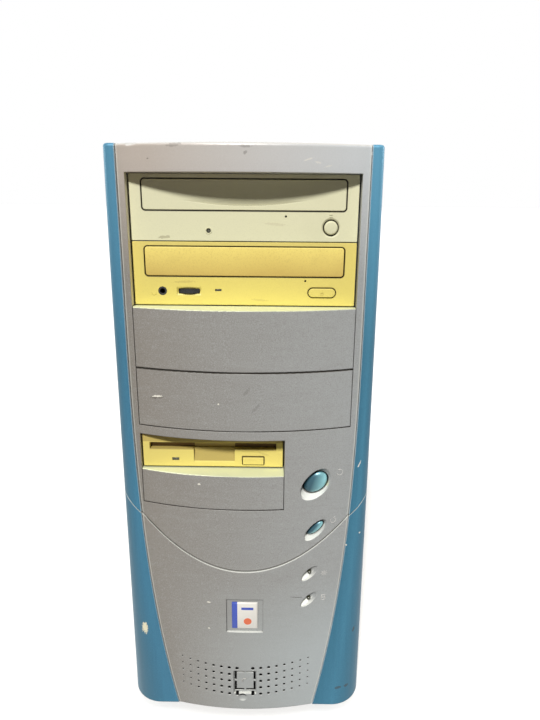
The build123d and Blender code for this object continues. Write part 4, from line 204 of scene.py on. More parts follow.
# Motherboard
# A green glass-fibre board on brass standoffs. Copper runs show under the lacquer, the card sockets
# are white and brown, the memory sockets black, the processor socket ivory.
def one_axis(vector, axis):
    """How far a vector goes along one axis."""
    return add_node(vector, "SeparateXYZ", {"Vector": vector}).outputs[axis]


def along(finish, axis):
    """The place along one axis, in metres."""
    return one_axis(where(finish), axis)


def zone(finish, axis, low, high):
    """1 where the piece lies between two places along an axis, in millimetres, and 0 elsewhere."""
    inputs = {0: along(finish, axis), 1: (low + high) / 2000, 2: (high - low) / 2000}
    return add_node(finish, "Math", inputs, operation="COMPARE").outputs[0]


def either(first, second):
    """High where one of two patterns is high."""
    return sums("MAXIMUM", first, second)


def board_lacquer(finish, across, up):
    """Green lacquer over copper runs, with solder dots, on a board that lies along two axes."""
    place = add_node(finish, "CombineXYZ", {"X": along(finish, across), "Y": along(finish, up)}).outputs[0]
    runs = add_node(finish, "TexBrick", {"Vector": place, "Scale": 95.0, "Mortar Size": 0.012}, offset=0.37)
    fine = add_node(finish, "TexBrick", {"Vector": place, "Scale": 260.0, "Mortar Size": 0.01}, offset=0.61)
    lines = either(runs.outputs["Fac"], fine.outputs["Fac"])
    dots = add_node(finish, "TexVoronoi", {"Vector": place, "Scale": 330.0}).outputs["Distance"]
    colour = blend(cloud(finish, 25.0, 3.0), (24, 74, 48), (34, 92, 58))
    colour = coats(colour, (both(lines, 0.6), (72, 128, 74)), (spread(dots, 0.16, 0.1), (176, 178, 172)))
    return colour, lines


board_finish = new_finish("board_finish", Roughness=0.42)
board_colour, board_lines = board_lacquer(board_finish, "Y", "Z")
raised = zone(board_finish, "X", 55.0, 72.35)
card_area = both(raised, zone(board_finish, "Y", 70.0, 165.0))
low_slots = both(card_area, zone(board_finish, "Z", 20.0, 145.0))
first_slot = both(card_area, zone(board_finish, "Z", 145.0, 165.0))
memory_area = both(raised, zone(board_finish, "Y", 0.0, 34.0))
processor_area = both(card_area, zone(board_finish, "Z", 200.0, 300.0))
# Painted shade darkens the corners of the board.
board_colour = coats(
    board_colour, (low_slots, (226, 222, 208)), (first_slot, (92, 58, 40)), (memory_area, (34, 34, 36)),
    (processor_area, (216, 208, 186)), (corner_shade(board_finish, 0.004, 0.6), (52, 50, 44)))
connect(board_finish, Base_Color=board_colour, Normal=relief(board_lines, 0.00004, 0.0002))
dress(board_finish, "motherboard")

brass = new_finish("brass", Metallic=1.0)
brass_dull = cloud(brass, 700.0, 3.0)
connect(brass, Base_Color=blend(brass_dull, (196, 164, 92), (150, 120, 66)))
connect(brass, Roughness=spread(brass_dull, 0.3, 0.7, 0.25, 0.45))
dress(brass, "board_standoffs")


# Parts on the board
# Soldered by machine: cans with a blue sleeve, black chips, ribbon headers, the ivory power socket,
# wound coils, a finned sink on the chipset and a coin cell in its holder.
def add(name, primitive, **settings):
    """A new piece out of a plain form, with its place put into its mesh and nothing else selected."""
    bpy.ops.object.select_all(action="DESELECT")
    primitive(**settings)
    piece = bpy.context.object
    piece.name = name
    bpy.ops.object.transform_apply(location=True, rotation=True, scale=True)
    return piece


def block(name, low, high):
    """A box between two corners in millimetres, to be shaped further."""
    low, high = Vector(low) / 1000, Vector(high) / 1000
    return add(name, bpy.ops.mesh.primitive_cube_add, size=1.0, location=(low + high) / 2, scale=high - low)


BAR_TURN = {"X": (0.0, pi / 2, 0.0), "Y": (-pi / 2, 0.0, 0.0), "Z": (0.0, 0.0, 0.0)}


def bar(name, axis, start, length, radius, sides=24):
    """A round bar in millimetres that runs from its start along an axis, to be shaped further."""
    middle = Vector(start) / 1000
    middle["XYZ".index(axis)] += length / 2000
    return add(
        name, bpy.ops.mesh.primitive_cylinder_add, vertices=sides, radius=radius / 1000,
        depth=abs(length) / 1000, location=middle, rotation=BAR_TURN[axis])


def hoop(name, middle, radius, thickness, rotation, sides=(36, 10)):
    """A round ring about a place in millimetres, to be shaped further."""
    return add(
        name, bpy.ops.mesh.primitive_torus_add, major_segments=sides[0], minor_segments=sides[1],
        major_radius=radius / 1000, minor_radius=thickness / 1000, location=Vector(middle) / 1000,
        rotation=rotation)


def pick(piece, test):
    """Go into edit mode with just those faces selected whose middle and facing pass the test."""
    bpy.ops.object.select_all(action="DESELECT")
    piece.select_set(True)
    bpy.context.view_layer.objects.active = piece
    bpy.ops.object.mode_set(mode="EDIT")
    bpy.ops.mesh.select_mode(type="FACE")
    bpy.ops.mesh.select_all(action="DESELECT")
    bpy.ops.object.mode_set(mode="OBJECT")
    for face in piece.data.polygons:
        face.select = test(face.center, face.normal)
    bpy.ops.object.mode_set(mode="EDIT")


def draw_out(shift):
    """Extrude the picked faces by a shift in metres."""
    bpy.ops.mesh.extrude_region_move(TRANSFORM_OT_translate={"value": shift})


def end_edit(smooth=None):
    """Leave edit mode, and shade the piece smooth up to an angle in degrees where one is given."""
    bpy.ops.object.mode_set(mode="OBJECT")
    if smooth:
        bpy.ops.object.shade_smooth_by_angle(angle=radians(smooth))


def sink_end(piece, way, rim, depth):
    """Leave a rim round the end that looks one way, and sink or raise what is inside it, in millimetres."""
    way = Vector(way)
    pick(piece, lambda middle, normal: normal.dot(way) > 0.9)
    bpy.ops.mesh.inset(thickness=rim / 1000)
    draw_out(way * -depth / 1000)
    end_edit()
    return piece


def soften(piece, width, segments=2):
    """Round the sharp edges of a piece off, by a width in millimetres."""
    bpy.context.view_layer.objects.active = piece
    rounding = piece.modifiers.new("rounding", "BEVEL")
    rounding.width = width / 1000
    rounding.segments = segments
    rounding.limit_method = "ANGLE"
    rounding.angle_limit = radians(35)
    bpy.ops.object.modifier_apply(modifier="rounding")
    bpy.ops.object.shade_smooth_by_angle(angle=radians(35))
    return piece


def join(name, pieces):
    """One piece out of several."""
    bpy.ops.object.select_all(action="DESELECT")
    for piece in pieces:
        piece.select_set(True)
    bpy.context.view_layer.objects.active = pieces[0]
    bpy.ops.object.join()
    pieces[0].name = name
    return pieces[0]


def repeat(piece, shifts):
    """A piece with its copies at shifts in millimetres, each with its own mesh, joined into one."""
    copies = [piece]
    for shift in shifts:
        twin = piece.copy()
        twin.data = piece.data.copy()
        twin.data.transform(Matrix.Translation(Vector(shift) / 1000))
        bpy.context.scene.collection.objects.link(twin)
        copies.append(twin)
    return join(piece.name, copies)


def fit(piece, finish, body="chassis"):
    """Give a new piece its finish and slot, and let it move with its body."""
    piece.data.materials.clear()
    piece.data.materials.append(finish)
    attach(piece, body)
    return piece


BOARD_FACE = 72.4
CAN_HIGH = 12.0
CAN_RADIUS = 4.0
CAN_PLACES = [(y, 296.0) for y in range(88, 160, 12)] + [(40.0, z) for z in range(190, 310, 24)]
CAN_PLACES += [(166.0, 140.0), (30.0, 120.0)]
first_y, first_z = CAN_PLACES[0]
can = bar("board_cans", "X", (BOARD_FACE, 0.0, 0.0), -CAN_HIGH, CAN_RADIUS, 20)
sink_end(can, (-1, 0, 0), 0.5, 0.3)
soften(can, 0.4)
can.data.transform(Matrix.Translation((0.0, first_y / 1000, first_z / 1000)))
cans = repeat(can, [(0.0, y - first_y, z - first_z) for y, z in CAN_PLACES[1:]])
can_sleeve = new_finish("can_sleeve", Roughness=0.35)
can_top = zone(can_sleeve, "X", 55.0, 61.2)
can_stripe = cloud(can_sleeve, 300.0, 1.0, (0.05, 1.0, 1.0))
sleeve_colour = blend(spread(can_stripe, 0.58, 0.62), (28, 40, 92), (150, 160, 190))
connect(can_sleeve, Base_Color=blend(can_top, sleeve_colour, (190, 190, 192)), Metallic=can_top)
connect(can_sleeve, Normal=relief(can_stripe, 0.00003, 0.0003))
fit(cans, can_sleeve)

BLACK_DUST = ((40.0, 4.0), (0.5, 0.8, 0.0, 0.35))
black_plastic = mottled(
    "black_plastic", (30, 30, 32), (84, 80, 74), (1600.0, 2.0), (0.2, 0.8, 0.42, 0.6), (0.00005, 0.0003),
    BLACK_DUST)
CHIPS = (
    (35.0, 96.0, 30.0, 2.2), (26.0, 40.0, 13.0, 4.2), (176.0, 176.0, 11.0, 1.8),
    (182.0, 120.0, 9.0, 1.6), (60.0, 300.0, 8.0, 1.6), (36.0, 152.0, 10.0, 1.8),
)
chips = []
for y, z, side, rise in CHIPS:
    half = side / 2
    chip = block("board_chips", (BOARD_FACE - rise, y - half, z - half), (BOARD_FACE, y + half, z + half))
    sink_end(chip, (-1, 0, 0), side / 14, 0.15)
    chips.append(soften(chip, 0.25, 1))
fit(join("board_chips", chips), black_plastic)

PIN_PITCH = 2.54
PIN_HALF = 0.32
PIN_END = 1.6
PIN_SUNK = 1.5
PIN_FOOT = 0.5


def header(name, low, high, rim, depth):
    """A ribbon or power header that stands on the board: a shrouded box with two rows of pins in it."""
    shroud = soften(sink_end(block(name, low, high), (-1, 0, 0), rim, depth), 0.25, 1)
    long_axis, cross = (1, 2) if high[1] - low[1] > high[2] - low[2] else (2, 1)
    pin_low = [low[0] + PIN_SUNK, 0.0, 0.0]
    pin_high = [low[0] + depth + PIN_FOOT, 0.0, 0.0]
    row_start = (low[cross] + high[cross]) / 2 - PIN_PITCH / 2
    for axis, spot in ((long_axis, low[long_axis] + rim + PIN_END), (cross, row_start)):
        pin_low[axis], pin_high[axis] = spot - PIN_HALF, spot + PIN_HALF
    pin = soften(block("pin", pin_low, pin_high), 0.12, 1)
    step, row = Vector(), Vector()
    step[long_axis] = row[cross] = PIN_PITCH
    count = int((high[long_axis] - low[long_axis] - 2 * rim - PIN_END) / PIN_PITCH)
    pins = repeat(pin, [step * i + row * j for i in range(count) for j in (0, 1) if i or j])
    return shroud, pins


RIBBON_TOP = BOARD_FACE - 9.0
RIBBON_SPANS = ((150.0, 206.0), (214.0, 270.0), (96.0, 143.0))
headers = [
    header("ribbon_header", (RIBBON_TOP, -5.0, low_z), (BOARD_FACE, 4.0, high_z), 1.1, 7.0)
    for low_z, high_z in RIBBON_SPANS
]
fit(join("ribbon_headers", [shroud for shroud, pins in headers]), black_plastic)
power_socket, power_pins = header(
    "board_power_socket", (59.4, 18.0, 314.0), (BOARD_FACE, 70.0, 324.0), 1.2, 9.0)
ivory_plastic = mottled(
    "ivory_plastic", (232, 228, 214), (212, 206, 188), (500.0, 3.0), (0.2, 0.8, 0.4, 0.6),
    (0.00004, 0.0003))
fit(power_socket, ivory_plastic)

bright_metal = mottled(
    "bright_metal", (204, 202, 196), (158, 154, 146), (500.0, 4.0), (0.3, 0.7, 0.22, 0.42),
    (0.00002, 0.0002), Metallic=1.0)
fit(join("header_pins", [pins for shroud, pins in headers] + [power_pins]), bright_metal)

COIL_RADIUS = 6.2
COIL_WIRE = 3.0
COIL_PITCH = 20.0
coil_place = Vector((BOARD_FACE - 5.0, 166.0, 236.0))
coil = hoop("board_coils", coil_place, COIL_RADIUS, COIL_WIRE, BAR_TURN["X"], (36, 12))


def on_quarters(middle, normal):
    """Two quarters of the coil, across from each other, on the side away from the board."""
    off_middle = middle - coil_place / 1000
    return normal.x < -0.5 and off_middle.y * off_middle.z > 0


pick(coil, on_quarters)
bpy.ops.mesh.inset(thickness=0.0002, depth=0.0003)
end_edit(35)
coils = repeat(coil, [(0.0, 0.0, COIL_PITCH * i) for i in (1, 2)])
copper_wire = new_finish("copper_wire", Metallic=0.9, Roughness=0.35)
wire_inputs = {"Vector": where(copper_wire), "Scale": 420.0, "Distortion": 2.0}
wire_turns = add_node(copper_wire, "TexWave", wire_inputs).outputs["Fac"]
connect(copper_wire, Base_Color=blend(wire_turns, (176, 96, 52), (112, 58, 34)))
connect(copper_wire, Normal=relief(wire_turns, 0.0002, 0.0002))
fit(coils, copper_wire)

FIN_STEP = 4.26
sink_base = block("chipset_sink", (BOARD_FACE - 7.0, 43.0, 188.0), (BOARD_FACE - 2.5, 79.0, 224.0))
sink_fin = block("sink_fin", (BOARD_FACE - 22.0, 43.5, 188.5), (BOARD_FACE - 6.5, 44.7, 223.5))
soften(sink_fin, 0.3, 1)
sink_fins = repeat(sink_fin, [(0.0, FIN_STEP * i, 0.0) for i in range(1, 9)])
sink_chip = block("sink_chip", (BOARD_FACE - 2.6, 47.0, 192.0), (BOARD_FACE, 75.0, 220.0))
cast_metal = new_finish("cast_metal", Metallic=0.9)
cast_skin = cloud(cast_metal, 1100.0, 4.0)
cast_dull = spread(cloud(cast_metal, 35.0, 4.0), 0.4, 0.7, 0.0, 0.4)
cast_colour = blend(cast_dull, (186, 188, 190), (132, 132, 130))
# Painted shade in the corners of the cast metal.
cast_colour = blend(corner_shade(cast_metal, 0.006, 0.5), cast_colour, (70, 66, 60))
cover(cast_metal, cast_colour, (cast_skin, 0.3, 0.7, 0.36, 0.55), (cast_skin, 0.00006, 0.0003))
chipset_sink = join("chipset_sink", [soften(sink_base, 0.3, 1), sink_fins, soften(sink_chip, 0.3, 1)])
fit(chipset_sink, cast_metal)

CELL_Y = 44.0
CELL_Z = 66.0
cell_holder = bar("cell_holder", "X", (BOARD_FACE, CELL_Y, CELL_Z), -3.6, 12.0, 32)
soften(sink_end(cell_holder, (-1, 0, 0), 1.8, 1.2), 0.3, 1)
fit(cell_holder, black_plastic)
coin_cell = bar("coin_cell", "X", (BOARD_FACE - 2.0, CELL_Y, CELL_Z), -2.2, 10.0, 32)
soften(sink_end(coin_cell, (-1, 0, 0), 1.0, 0.15), 0.3)
fit(coin_cell, bright_metal)


# Processor cooler
# A finned aluminium block clamped on the processor, with a black fan screwed to its fins and a
# plain round sticker on the hub of the fan.
dress(cast_metal, "cpu_heatsink")
dress(black_plastic, "cpu_fan_frame", "cpu_fan_rotor")


def hub_sticker(name, axis, start, thickness, radius, body):
    """A bare round sticker on the hub of a fan, with a raised edge."""
    sticker = bar(name, axis, start, thickness, radius, 40)
    way = [0.0, 0.0, 0.0]
    way["XYZ".index(axis)] = 1.0 if thickness > 0 else -1.0
    soften(sink_end(sticker, way, 1.2, 0.06), 0.05, 1)
    return fit(sticker, sticker_paper, body)


sticker_paper = mottled(
    "sticker_paper", (222, 221, 214), (186, 178, 158), (1300.0, 3.0), (0.2, 0.8, 0.4, 0.65),
    (0.00003, 0.0002), ((45.0, 4.0), (0.35, 0.75)))
CPU_HUB_Y = 115.0
CPU_HUB_Z = 246.7
cpu_hub_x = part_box("cpu_fan_rotor")[0].x * 1000
hub_sticker("cpu_fan_sticker", "X", (cpu_hub_x, CPU_HUB_Y, CPU_HUB_Z), -0.25, 11.0, "cpu_fan")


# Memory and graphics card
# Two memory boards with eight black chips on each face, and one graphics card with a cast sink, a
# plated bracket and a blue video socket.
memory_finish = new_finish("memory_finish", Roughness=0.45)
memory_colour, memory_lines = board_lacquer(memory_finish, "X", "Z")
for board_y in (12.0, 24.0):
    front_chips = zone(memory_finish, "Y", board_y - 3.0, board_y - 0.7)
    back_chips = zone(memory_finish, "Y", board_y + 0.7, board_y + 3.0)
    memory_colour = blend(either(front_chips, back_chips), memory_colour, (32, 32, 34))
memory_colour = blend(zone(memory_finish, "X", 67.0, 72.0), memory_colour, (206, 170, 96))
connect(memory_finish, Base_Color=memory_colour, Normal=relief(memory_lines, 0.00003, 0.0002))
dress(memory_finish, "memory_modules")

card_finish = new_finish("card_finish")
card_colour, card_lines = board_lacquer(card_finish, "X", "Y")
card_bracket = zone(card_finish, "Y", 210.9, 213.5)
card_sink = both(zone(card_finish, "Z", 130.0, 152.8), zone(card_finish, "Y", 40.0, 190.0))
card_metal = either(card_bracket, card_sink)
card_video = both(zone(card_finish, "X", 0.0, 34.0), zone(card_finish, "Y", 213.5, 220.0))
card_colour = coats(card_colour, (card_metal, (182, 184, 186)), (card_video, (44, 62, 138)))
card_rough = (card_lines, 0.0, 1.0, 0.4, 0.5)
cover(card_finish, card_colour, card_rough, (card_lines, 0.00003, 0.0002), Metallic=card_metal)
dress(card_finish, "graphics_card")


# Power supply
# A folded steel box at the top of the back: fan behind stamped rings, mains inlet, rocker switch,
# and a bare rating plate on its side.
supply_zinc = zinc_plate("supply_zinc", (176, 178, 181), (146, 149, 153))
dress(supply_zinc, "power_supply_case")
dress(black_plastic, "power_supply_fan_frame", "power_supply_fan_rotor", "mains_switch")
SUPPLY_HUB_X = 28.0
SUPPLY_HUB_Z = 383.7
supply_hub_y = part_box("power_supply_fan_rotor")[1].y * 1000
supply_hub = (SUPPLY_HUB_X, supply_hub_y, SUPPLY_HUB_Z)
hub_sticker("supply_fan_sticker", "Y", supply_hub, 0.25, 13.0, "power_supply_fan")
rating_plate = block("rating_plate", (-75.35, 92.0, 352.0), (-74.95, 184.0, 414.0))
soften(sink_end(rating_plate, (-1, 0, 0), 1.5, 0.1), 0.08, 1)
fit(rating_plate, sticker_paper)

inlet_finish = new_finish("inlet_finish", Roughness=0.45)
inlet_grain = cloud(inlet_finish, 1500.0, 2.0)
connect(inlet_finish, Base_Color=blend(inlet_grain, (26, 26, 28), (42, 42, 44)))
connect(inlet_finish, Normal=relief(inlet_grain, 0.00005, 0.0004))
dress(inlet_finish, "mains_inlet")
rocker_low, rocker_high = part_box("mains_switch")
rocker_middle = (rocker_low + rocker_high) * 500
bar_low = (rocker_middle.x + 4.0, 213.9, rocker_middle.z - 2.2)
bar_high = (rocker_middle.x + 4.6, 214.1, rocker_middle.z + 2.2)
on_bar = soften(block("rocker_on_bar", bar_low, bar_high), 0.08, 1)
ROCKER_SLOPE = radians(16.0)
off_facing = Vector((-sin(ROCKER_SLOPE), cos(ROCKER_SLOPE), 0.0))
off_place = (rocker_middle.x - 4.2, 213.04, rocker_middle.z)
off_turn = off_facing.to_track_quat("Z", "Y").to_euler()
off_ring = hoop("rocker_off_ring", off_place, 1.7, 0.2, off_turn, (36, 8))
pick(off_ring, lambda middle, normal: normal.dot(off_facing) > 0.7)
bpy.ops.mesh.inset(thickness=0.00005)
end_edit(40)
fit(join("rocker_marks", [on_bar, off_ring]), ivory_plastic, "mains_switch")


# Rear ports
# Sockets soldered to the board and reaching out through a pressed shield: keyboard and mouse, two small
# buses, printer, serial, video, network and sound. Shells are plated, inserts coloured.
def window(finish, x0, x1, z0, z1):
    """1 inside a rectangle seen from the front or the back, in millimetres, and 0 outside."""
    return both(zone(finish, "X", x0, x1), zone(finish, "Z", z0, z1))


port_finish = new_finish("port_finish")
port_grain = cloud(port_finish, 900.0, 3.0)
port_colour = blend(port_grain, (34, 34, 36), (50, 50, 52))
PRINTER_X = 47.15
PRINTER_Z = 256.4
SERIAL_Z = 267.9
VIDEO_Z = 228.4
SHELL_STEP = 17.5
SHELL_HALF = 6.6
INSERT_HALF = 4.0
SHELLS = (
    (PRINTER_X, PRINTER_Z, 53.0, (132, 44, 78)), (PRINTER_X + SHELL_STEP, SERIAL_Z, 31.0, (38, 112, 104)),
    (PRINTER_X + SHELL_STEP, VIDEO_Z, 31.0, (48, 66, 142)),
)
port_metal = either(
    window(port_finish, 56.0, 73.0, 289.0, 305.0), window(port_finish, 42.0, 73.0, 192.0, 209.5))
for x, z, shell_high, insert in SHELLS:
    reach = shell_high / 2 + 0.3
    shell = window(port_finish, x - SHELL_HALF, x + SHELL_HALF, z - reach, z + reach)
    port_metal = either(port_metal, shell)
port_colour = blend(port_metal, port_colour, (188, 188, 186))
for x, z, shell_high, insert in SHELLS:
    reach = shell_high / 2 - 2.2
    inside = window(port_finish, x - INSERT_HALF, x + INSERT_HALF, z - reach, z + reach)
    port_colour = blend(inside, port_colour, insert)
    port_metal = sums("SUBTRACT", port_metal, inside)
port_rough = (port_grain, 0.2, 0.8, 0.32, 0.5)
cover(port_finish, port_colour, port_rough, (port_grain, 0.00003, 0.0003), Metallic=port_metal)
dress(port_finish, "rear_ports")


def coloured_plastic(name, colour):
    """Bright moulded plastic of a port ring, a little dusty."""
    finish = new_finish(name)
    dust = spread(cloud(finish, 220.0, 4.0), 0.45, 0.8, 0.0, 0.4)
    colour = blend(dust, colour, (150, 144, 134))
    cover(finish, colour, (dust, 0.0, 0.4, 0.35, 0.6), (dust, 0.00003, 0.0002))
    return finish


PORT_FACE = 214.5
PORT_RINGS = (
    ("keyboard_ring", 52.15, 315.9, 5.0, (118, 82, 150)), ("mouse_ring", 65.65, 315.9, 5.0, (74, 150, 92)),
    ("line_out_ring", 54.4, 176.9, 2.7, (126, 190, 96)), ("line_in_ring", 42.4, 176.9, 2.7, (96, 150, 210)),
    ("microphone_ring", 66.4, 176.9, 2.7, (222, 130, 150)),
)
for ring_name, ring_x, ring_z, ring_radius, ring_colour in PORT_RINGS:
    ring = hoop(ring_name, (ring_x, PORT_FACE, ring_z), ring_radius, 0.7, (pi / 2, 0.0, 0.0))
    pick(ring, lambda middle, normal: normal.y > 0.8)
    bpy.ops.mesh.inset(thickness=0.0001)
    draw_out((0.0, 0.0004, 0.0))
    end_edit(40)
    fit(ring, coloured_plastic(ring_name + "_plastic", ring_colour))

NUT_Z = PRINTER_Z - 30.2
NUT_STEP = 60.4
nut = bar("shell_nuts", "Y", (PRINTER_X, 213.0, NUT_Z), 4.4, 2.7, 6)
soften(sink_end(nut, (0, 1, 0), 0.9, 3.0), 0.2, 1)
other_nuts = (SERIAL_Z + 18.4, SERIAL_Z - 17.4, VIDEO_Z + 17.4, VIDEO_Z - 18.4)
nut_shifts = [(0.0, 0.0, NUT_STEP)] + [(SHELL_STEP, 0.0, z - NUT_Z) for z in other_nuts]
fit(repeat(nut, nut_shifts), bright_metal)
tongue = soften(block("bus_tongues", (59.5, 206.6, 291.6), (61.3, 213.4, 302.7)), 0.2, 1)
fit(repeat(tongue, [(8.0, 0.0, 0.0)]), ivory_plastic)
CONTACT_Z = PRINTER_Z - 16.6
CONTACT_PITCH = 2.77
ROW_SHIFT = 1.38
ROW_GAP = 2.4
VIDEO_STEP = 16.6
VIDEO_GAP = 2.0
VIDEO_PITCH = 2.3
contact = bar("shell_contacts", "Y", (46.0, 213.2, CONTACT_Z), 1.45, 0.55, 10)
sink_end(contact, (0, 1, 0), 0.18, 0.6)
serial_first = SERIAL_Z - 5.5 - CONTACT_Z
video_first = VIDEO_Z - 4.6 - CONTACT_Z
contact_shifts = [(0.0, 0.0, CONTACT_PITCH * i) for i in range(1, 13)]
contact_shifts += [(ROW_GAP, 0.0, CONTACT_PITCH * i + ROW_SHIFT) for i in range(12)]
for row in (0, 1):
    row_x = SHELL_STEP + ROW_GAP * row
    row_z = serial_first + ROW_SHIFT * row
    contact_shifts += [(row_x, 0.0, row_z + CONTACT_PITCH * i) for i in range(5 - row)]
for row in (0, 1, 2):
    contact_shifts += [(VIDEO_STEP + VIDEO_GAP * row, 0.0, video_first + VIDEO_PITCH * i) for i in range(5)]
fit(repeat(contact, contact_shifts), bright_metal)


# Hard drive
# A cast aluminium body screwed into the small cage, with a bare paper sticker on its lid.
dress(cast_metal, "hard_drive")
lid_sticker = block("lid_sticker", (-66.0, -168.0, 182.0), (19.0, -70.0, 182.35))
soften(sink_end(lid_sticker, (0, 0, 1), 2.0, 0.1), 0.08, 1)
fit(lid_sticker, sticker_paper)


# Drive cases
# Folded steel cans of the three drives, held by small pan-head screws through the cage into their sides.
# At the back, as on the hard drive, sit a black ribbon socket and an ivory power socket.
dress(supply_zinc, "cd_case", "dvd_case", "floppy_case")
steel_screw = mottled(
    "steel_screw", (178, 176, 170), (128, 124, 116), (900.0, 4.0), (0.3, 0.7, 0.28, 0.5), (0.00003, 0.0003),
    Metallic=1.0)
dress(steel_screw, "drive_screws")
DRIVE_BACKS = ((-31.0, 380.0), (-31.0, 337.4), (-29.0, 160.5), (-64.7, 215.6))
SOCKET_HIGH = 9.0
ribbon_sockets = []
supply_sockets = []
for back_y, base_z in DRIVE_BACKS:
    front_y, end_y, top_z = back_y - 0.5, back_y + 1.0, base_z + SOCKET_HIGH
    socket = block("ribbon_sockets", (-58.0, front_y, base_z), (-6.0, end_y, top_z))
    ribbon_sockets.append(soften(sink_end(socket, (0, 1, 0), 1.0, 1.0), 0.2, 1))
    plug = block("supply_sockets", (1.0, front_y, base_z), (22.0, end_y, top_z))
    supply_sockets.append(soften(sink_end(plug, (0, 1, 0), 1.2, 1.0), 0.2, 1))
fit(join("ribbon_sockets", ribbon_sockets), black_plastic)
fit(join("supply_sockets", supply_sockets), ivory_plastic)


# Floppy drive front
# A moulded plate with the disk slot, its sprung shutter and eject key. The plastic was beige and has
# gone yellow in the light. Painted shade lies in the finger hollow, over the slot and along its lower
# lip; the shutter is painted dark as painted shade in the slot, and lighter in its middle as painted light.
def size_of(vector):
    """How long a vector is."""
    return add_node(vector, "VectorMath", {0: vector}, operation="LENGTH").outputs["Value"]


def beyond(finish, x, z, half_x, half_z, corner):
    """How far a place on the front lies outside a rounded opening, all in millimetres but the result."""
    past = placed(finish, Location=(-x / 1000, 0.0, -z / 1000), Scale=(1.0, 0.0, 1.0))
    straight = ((half_x - corner) / 1000, 0.0, (half_z - corner) / 1000)
    nothing = (0.0, 0.0, 0.0)
    for operation, operand in (("ABSOLUTE", nothing), ("SUBTRACT", straight), ("MAXIMUM", nothing)):
        past = add_node(finish, "VectorMath", {0: past, 1: operand}, operation=operation).outputs["Vector"]
    return sums("SUBTRACT", size_of(past), corner / 1000)


def aged_plastic(name, low_z, high_z, bottom, top, stains, painted_patches=(), openings=()):
    """Beige plastic yellowed by light, from one colour at the bottom to another at the top, with stains,
    painted shade in corners, a painted line of shade round each opening and patches of painted shade and
    light.
    """
    finish = new_finish(name, Specular_IOR_Level=0.25)
    mottle = cloud(finish, 30.0, 4.0)
    grain = cloud(finish, 1500.0, 2.0)
    height = spread(along(finish, "Z"), low_z / 1000, high_z / 1000)
    height = sums("ADD", height, spread(mottle, 0.0, 1.0, -0.2, 0.2))
    shade = bottom + (0.86,)
    # Painted shade in corners and gaps.
    colour = coats(
        blend(height, bottom, top), (spread(grain, 0.5, 0.75, 0.0, 0.35), shade),
        (spread(mottle, 0.58, 0.8, 0.0, 0.4), shade), (corner_shade(finish, 0.0026, 0.8), (62, 50, 34)))
    # Patches on the recessed parts painted darker or lighter, as painted shade and painted light.
    for x0, x1, z0, z1, front, patch_colour in painted_patches:
        inside = both(window(finish, x0, x1, z0, z1), zone(finish, "Y", front, front + 12.0))
        colour = blend(both(inside, 0.6), colour, patch_colour)
    # Painted shade: a dark line along the rim of each opening, where the gap round the door or key lies in
    # shade.
    for opening in openings:
        off_line = sums("ABSOLUTE", beyond(finish, *opening), 0.0)
        colour = blend(spread(off_line, 0.0006, 0.0002, 0.0, 0.85), colour, (58, 46, 30))
    colour = nicks(finish, colour, stains)
    cover(finish, colour, (mottle, 0.3, 0.7, 0.4, 0.52), (grain, 0.00004, 0.0005))
    return finish


def oval(finish, x, z, half_length, half_width, rise=0):
    """How far out a place lies in an oval on the front, 1 at its rim, in millimetres and degrees."""
    return size_of(placed(
        finish, "TEXTURE", Location=(x / 1000, 0.0, z / 1000), Rotation=(0.0, radians(-rise), 0.0),
        Scale=(half_length / 1000, 1000.0, half_width / 1000)))


def nicks(finish, colour, marks):
    """Lay ragged wear marks over a colour: ovals on the front, each with its strength and paint."""
    ragged = spread(cloud(finish, 900.0, 3.0), 0.25, 0.75, -0.45, 0.45)
    for x, z, half_length, half_width, rise, strength, paint in marks:
        reach = sums("ADD", oval(finish, x, z, half_length, half_width, rise), ragged)
        colour = blend(spread(reach, 1.0, 0.7, 0.0, strength), colour, paint)
    return colour


BROWN_STAIN = (150, 128, 84)
floppy_stains = [
    (-20.0, 234.0, 9.0, 1.0, 3, 0.25, BROWN_STAIN), (14.0, 222.0, 5.0, 0.8, -20, 0.2, BROWN_STAIN),
]
# Painted shade: the finger hollow, the strip over the slot and the slot's lower lip, made darker.
floppy_painted_shade = [
    (-38.0, -7.2, 214.6, 226.0, -204.3, (128, 104, 56)),
    (-74.0, 27.6, 231.0, 238.0, -204.8, (166, 142, 84)),
    (-69.0, -37.1, 224.9, 225.7, -204.8, (120, 98, 56)),
    (-7.5, 22.6, 224.9, 225.7, -204.8, (120, 98, 56)),
]
# A painted dark line of shade round the eject key.
floppy_keyhole = [(6.0, 216.8, 7.9, 3.2, 0.8)]
floppy_plastic = aged_plastic(
    "floppy_plastic", 211.0, 237.0, (232, 214, 120), (228, 210, 120), floppy_stains, floppy_painted_shade,
    floppy_keyhole)
dress(floppy_plastic, "floppy_bezel", "floppy_eject_button")
# The shutter sits in the slot's shade: painted dark as painted shade, with its middle painted lighter as
# painted light.
shutter_painted_light = [(-37.1, -7.5, 225.0, 232.4, -200.2, (246, 226, 140))]
shaded_shutter_plastic = aged_plastic(
    "shaded_shutter_plastic", 225.0, 232.0, (126, 102, 62), (146, 120, 76), [], shutter_painted_light)
dress(shaded_shutter_plastic, "floppy_shutter")


# DVD reader front
# A bezel with a wide tray door, eject key, ribbed volume wheel and headphone jack, moulded in beige
# plastic that has yellowed more than the drive above it.
dvd_stains = [(-40.0, 346.0, 8.0, 0.9, 2, 0.25, BROWN_STAIN), (10.0, 334.0, 6.0, 0.8, -4, 0.2, BROWN_STAIN)]
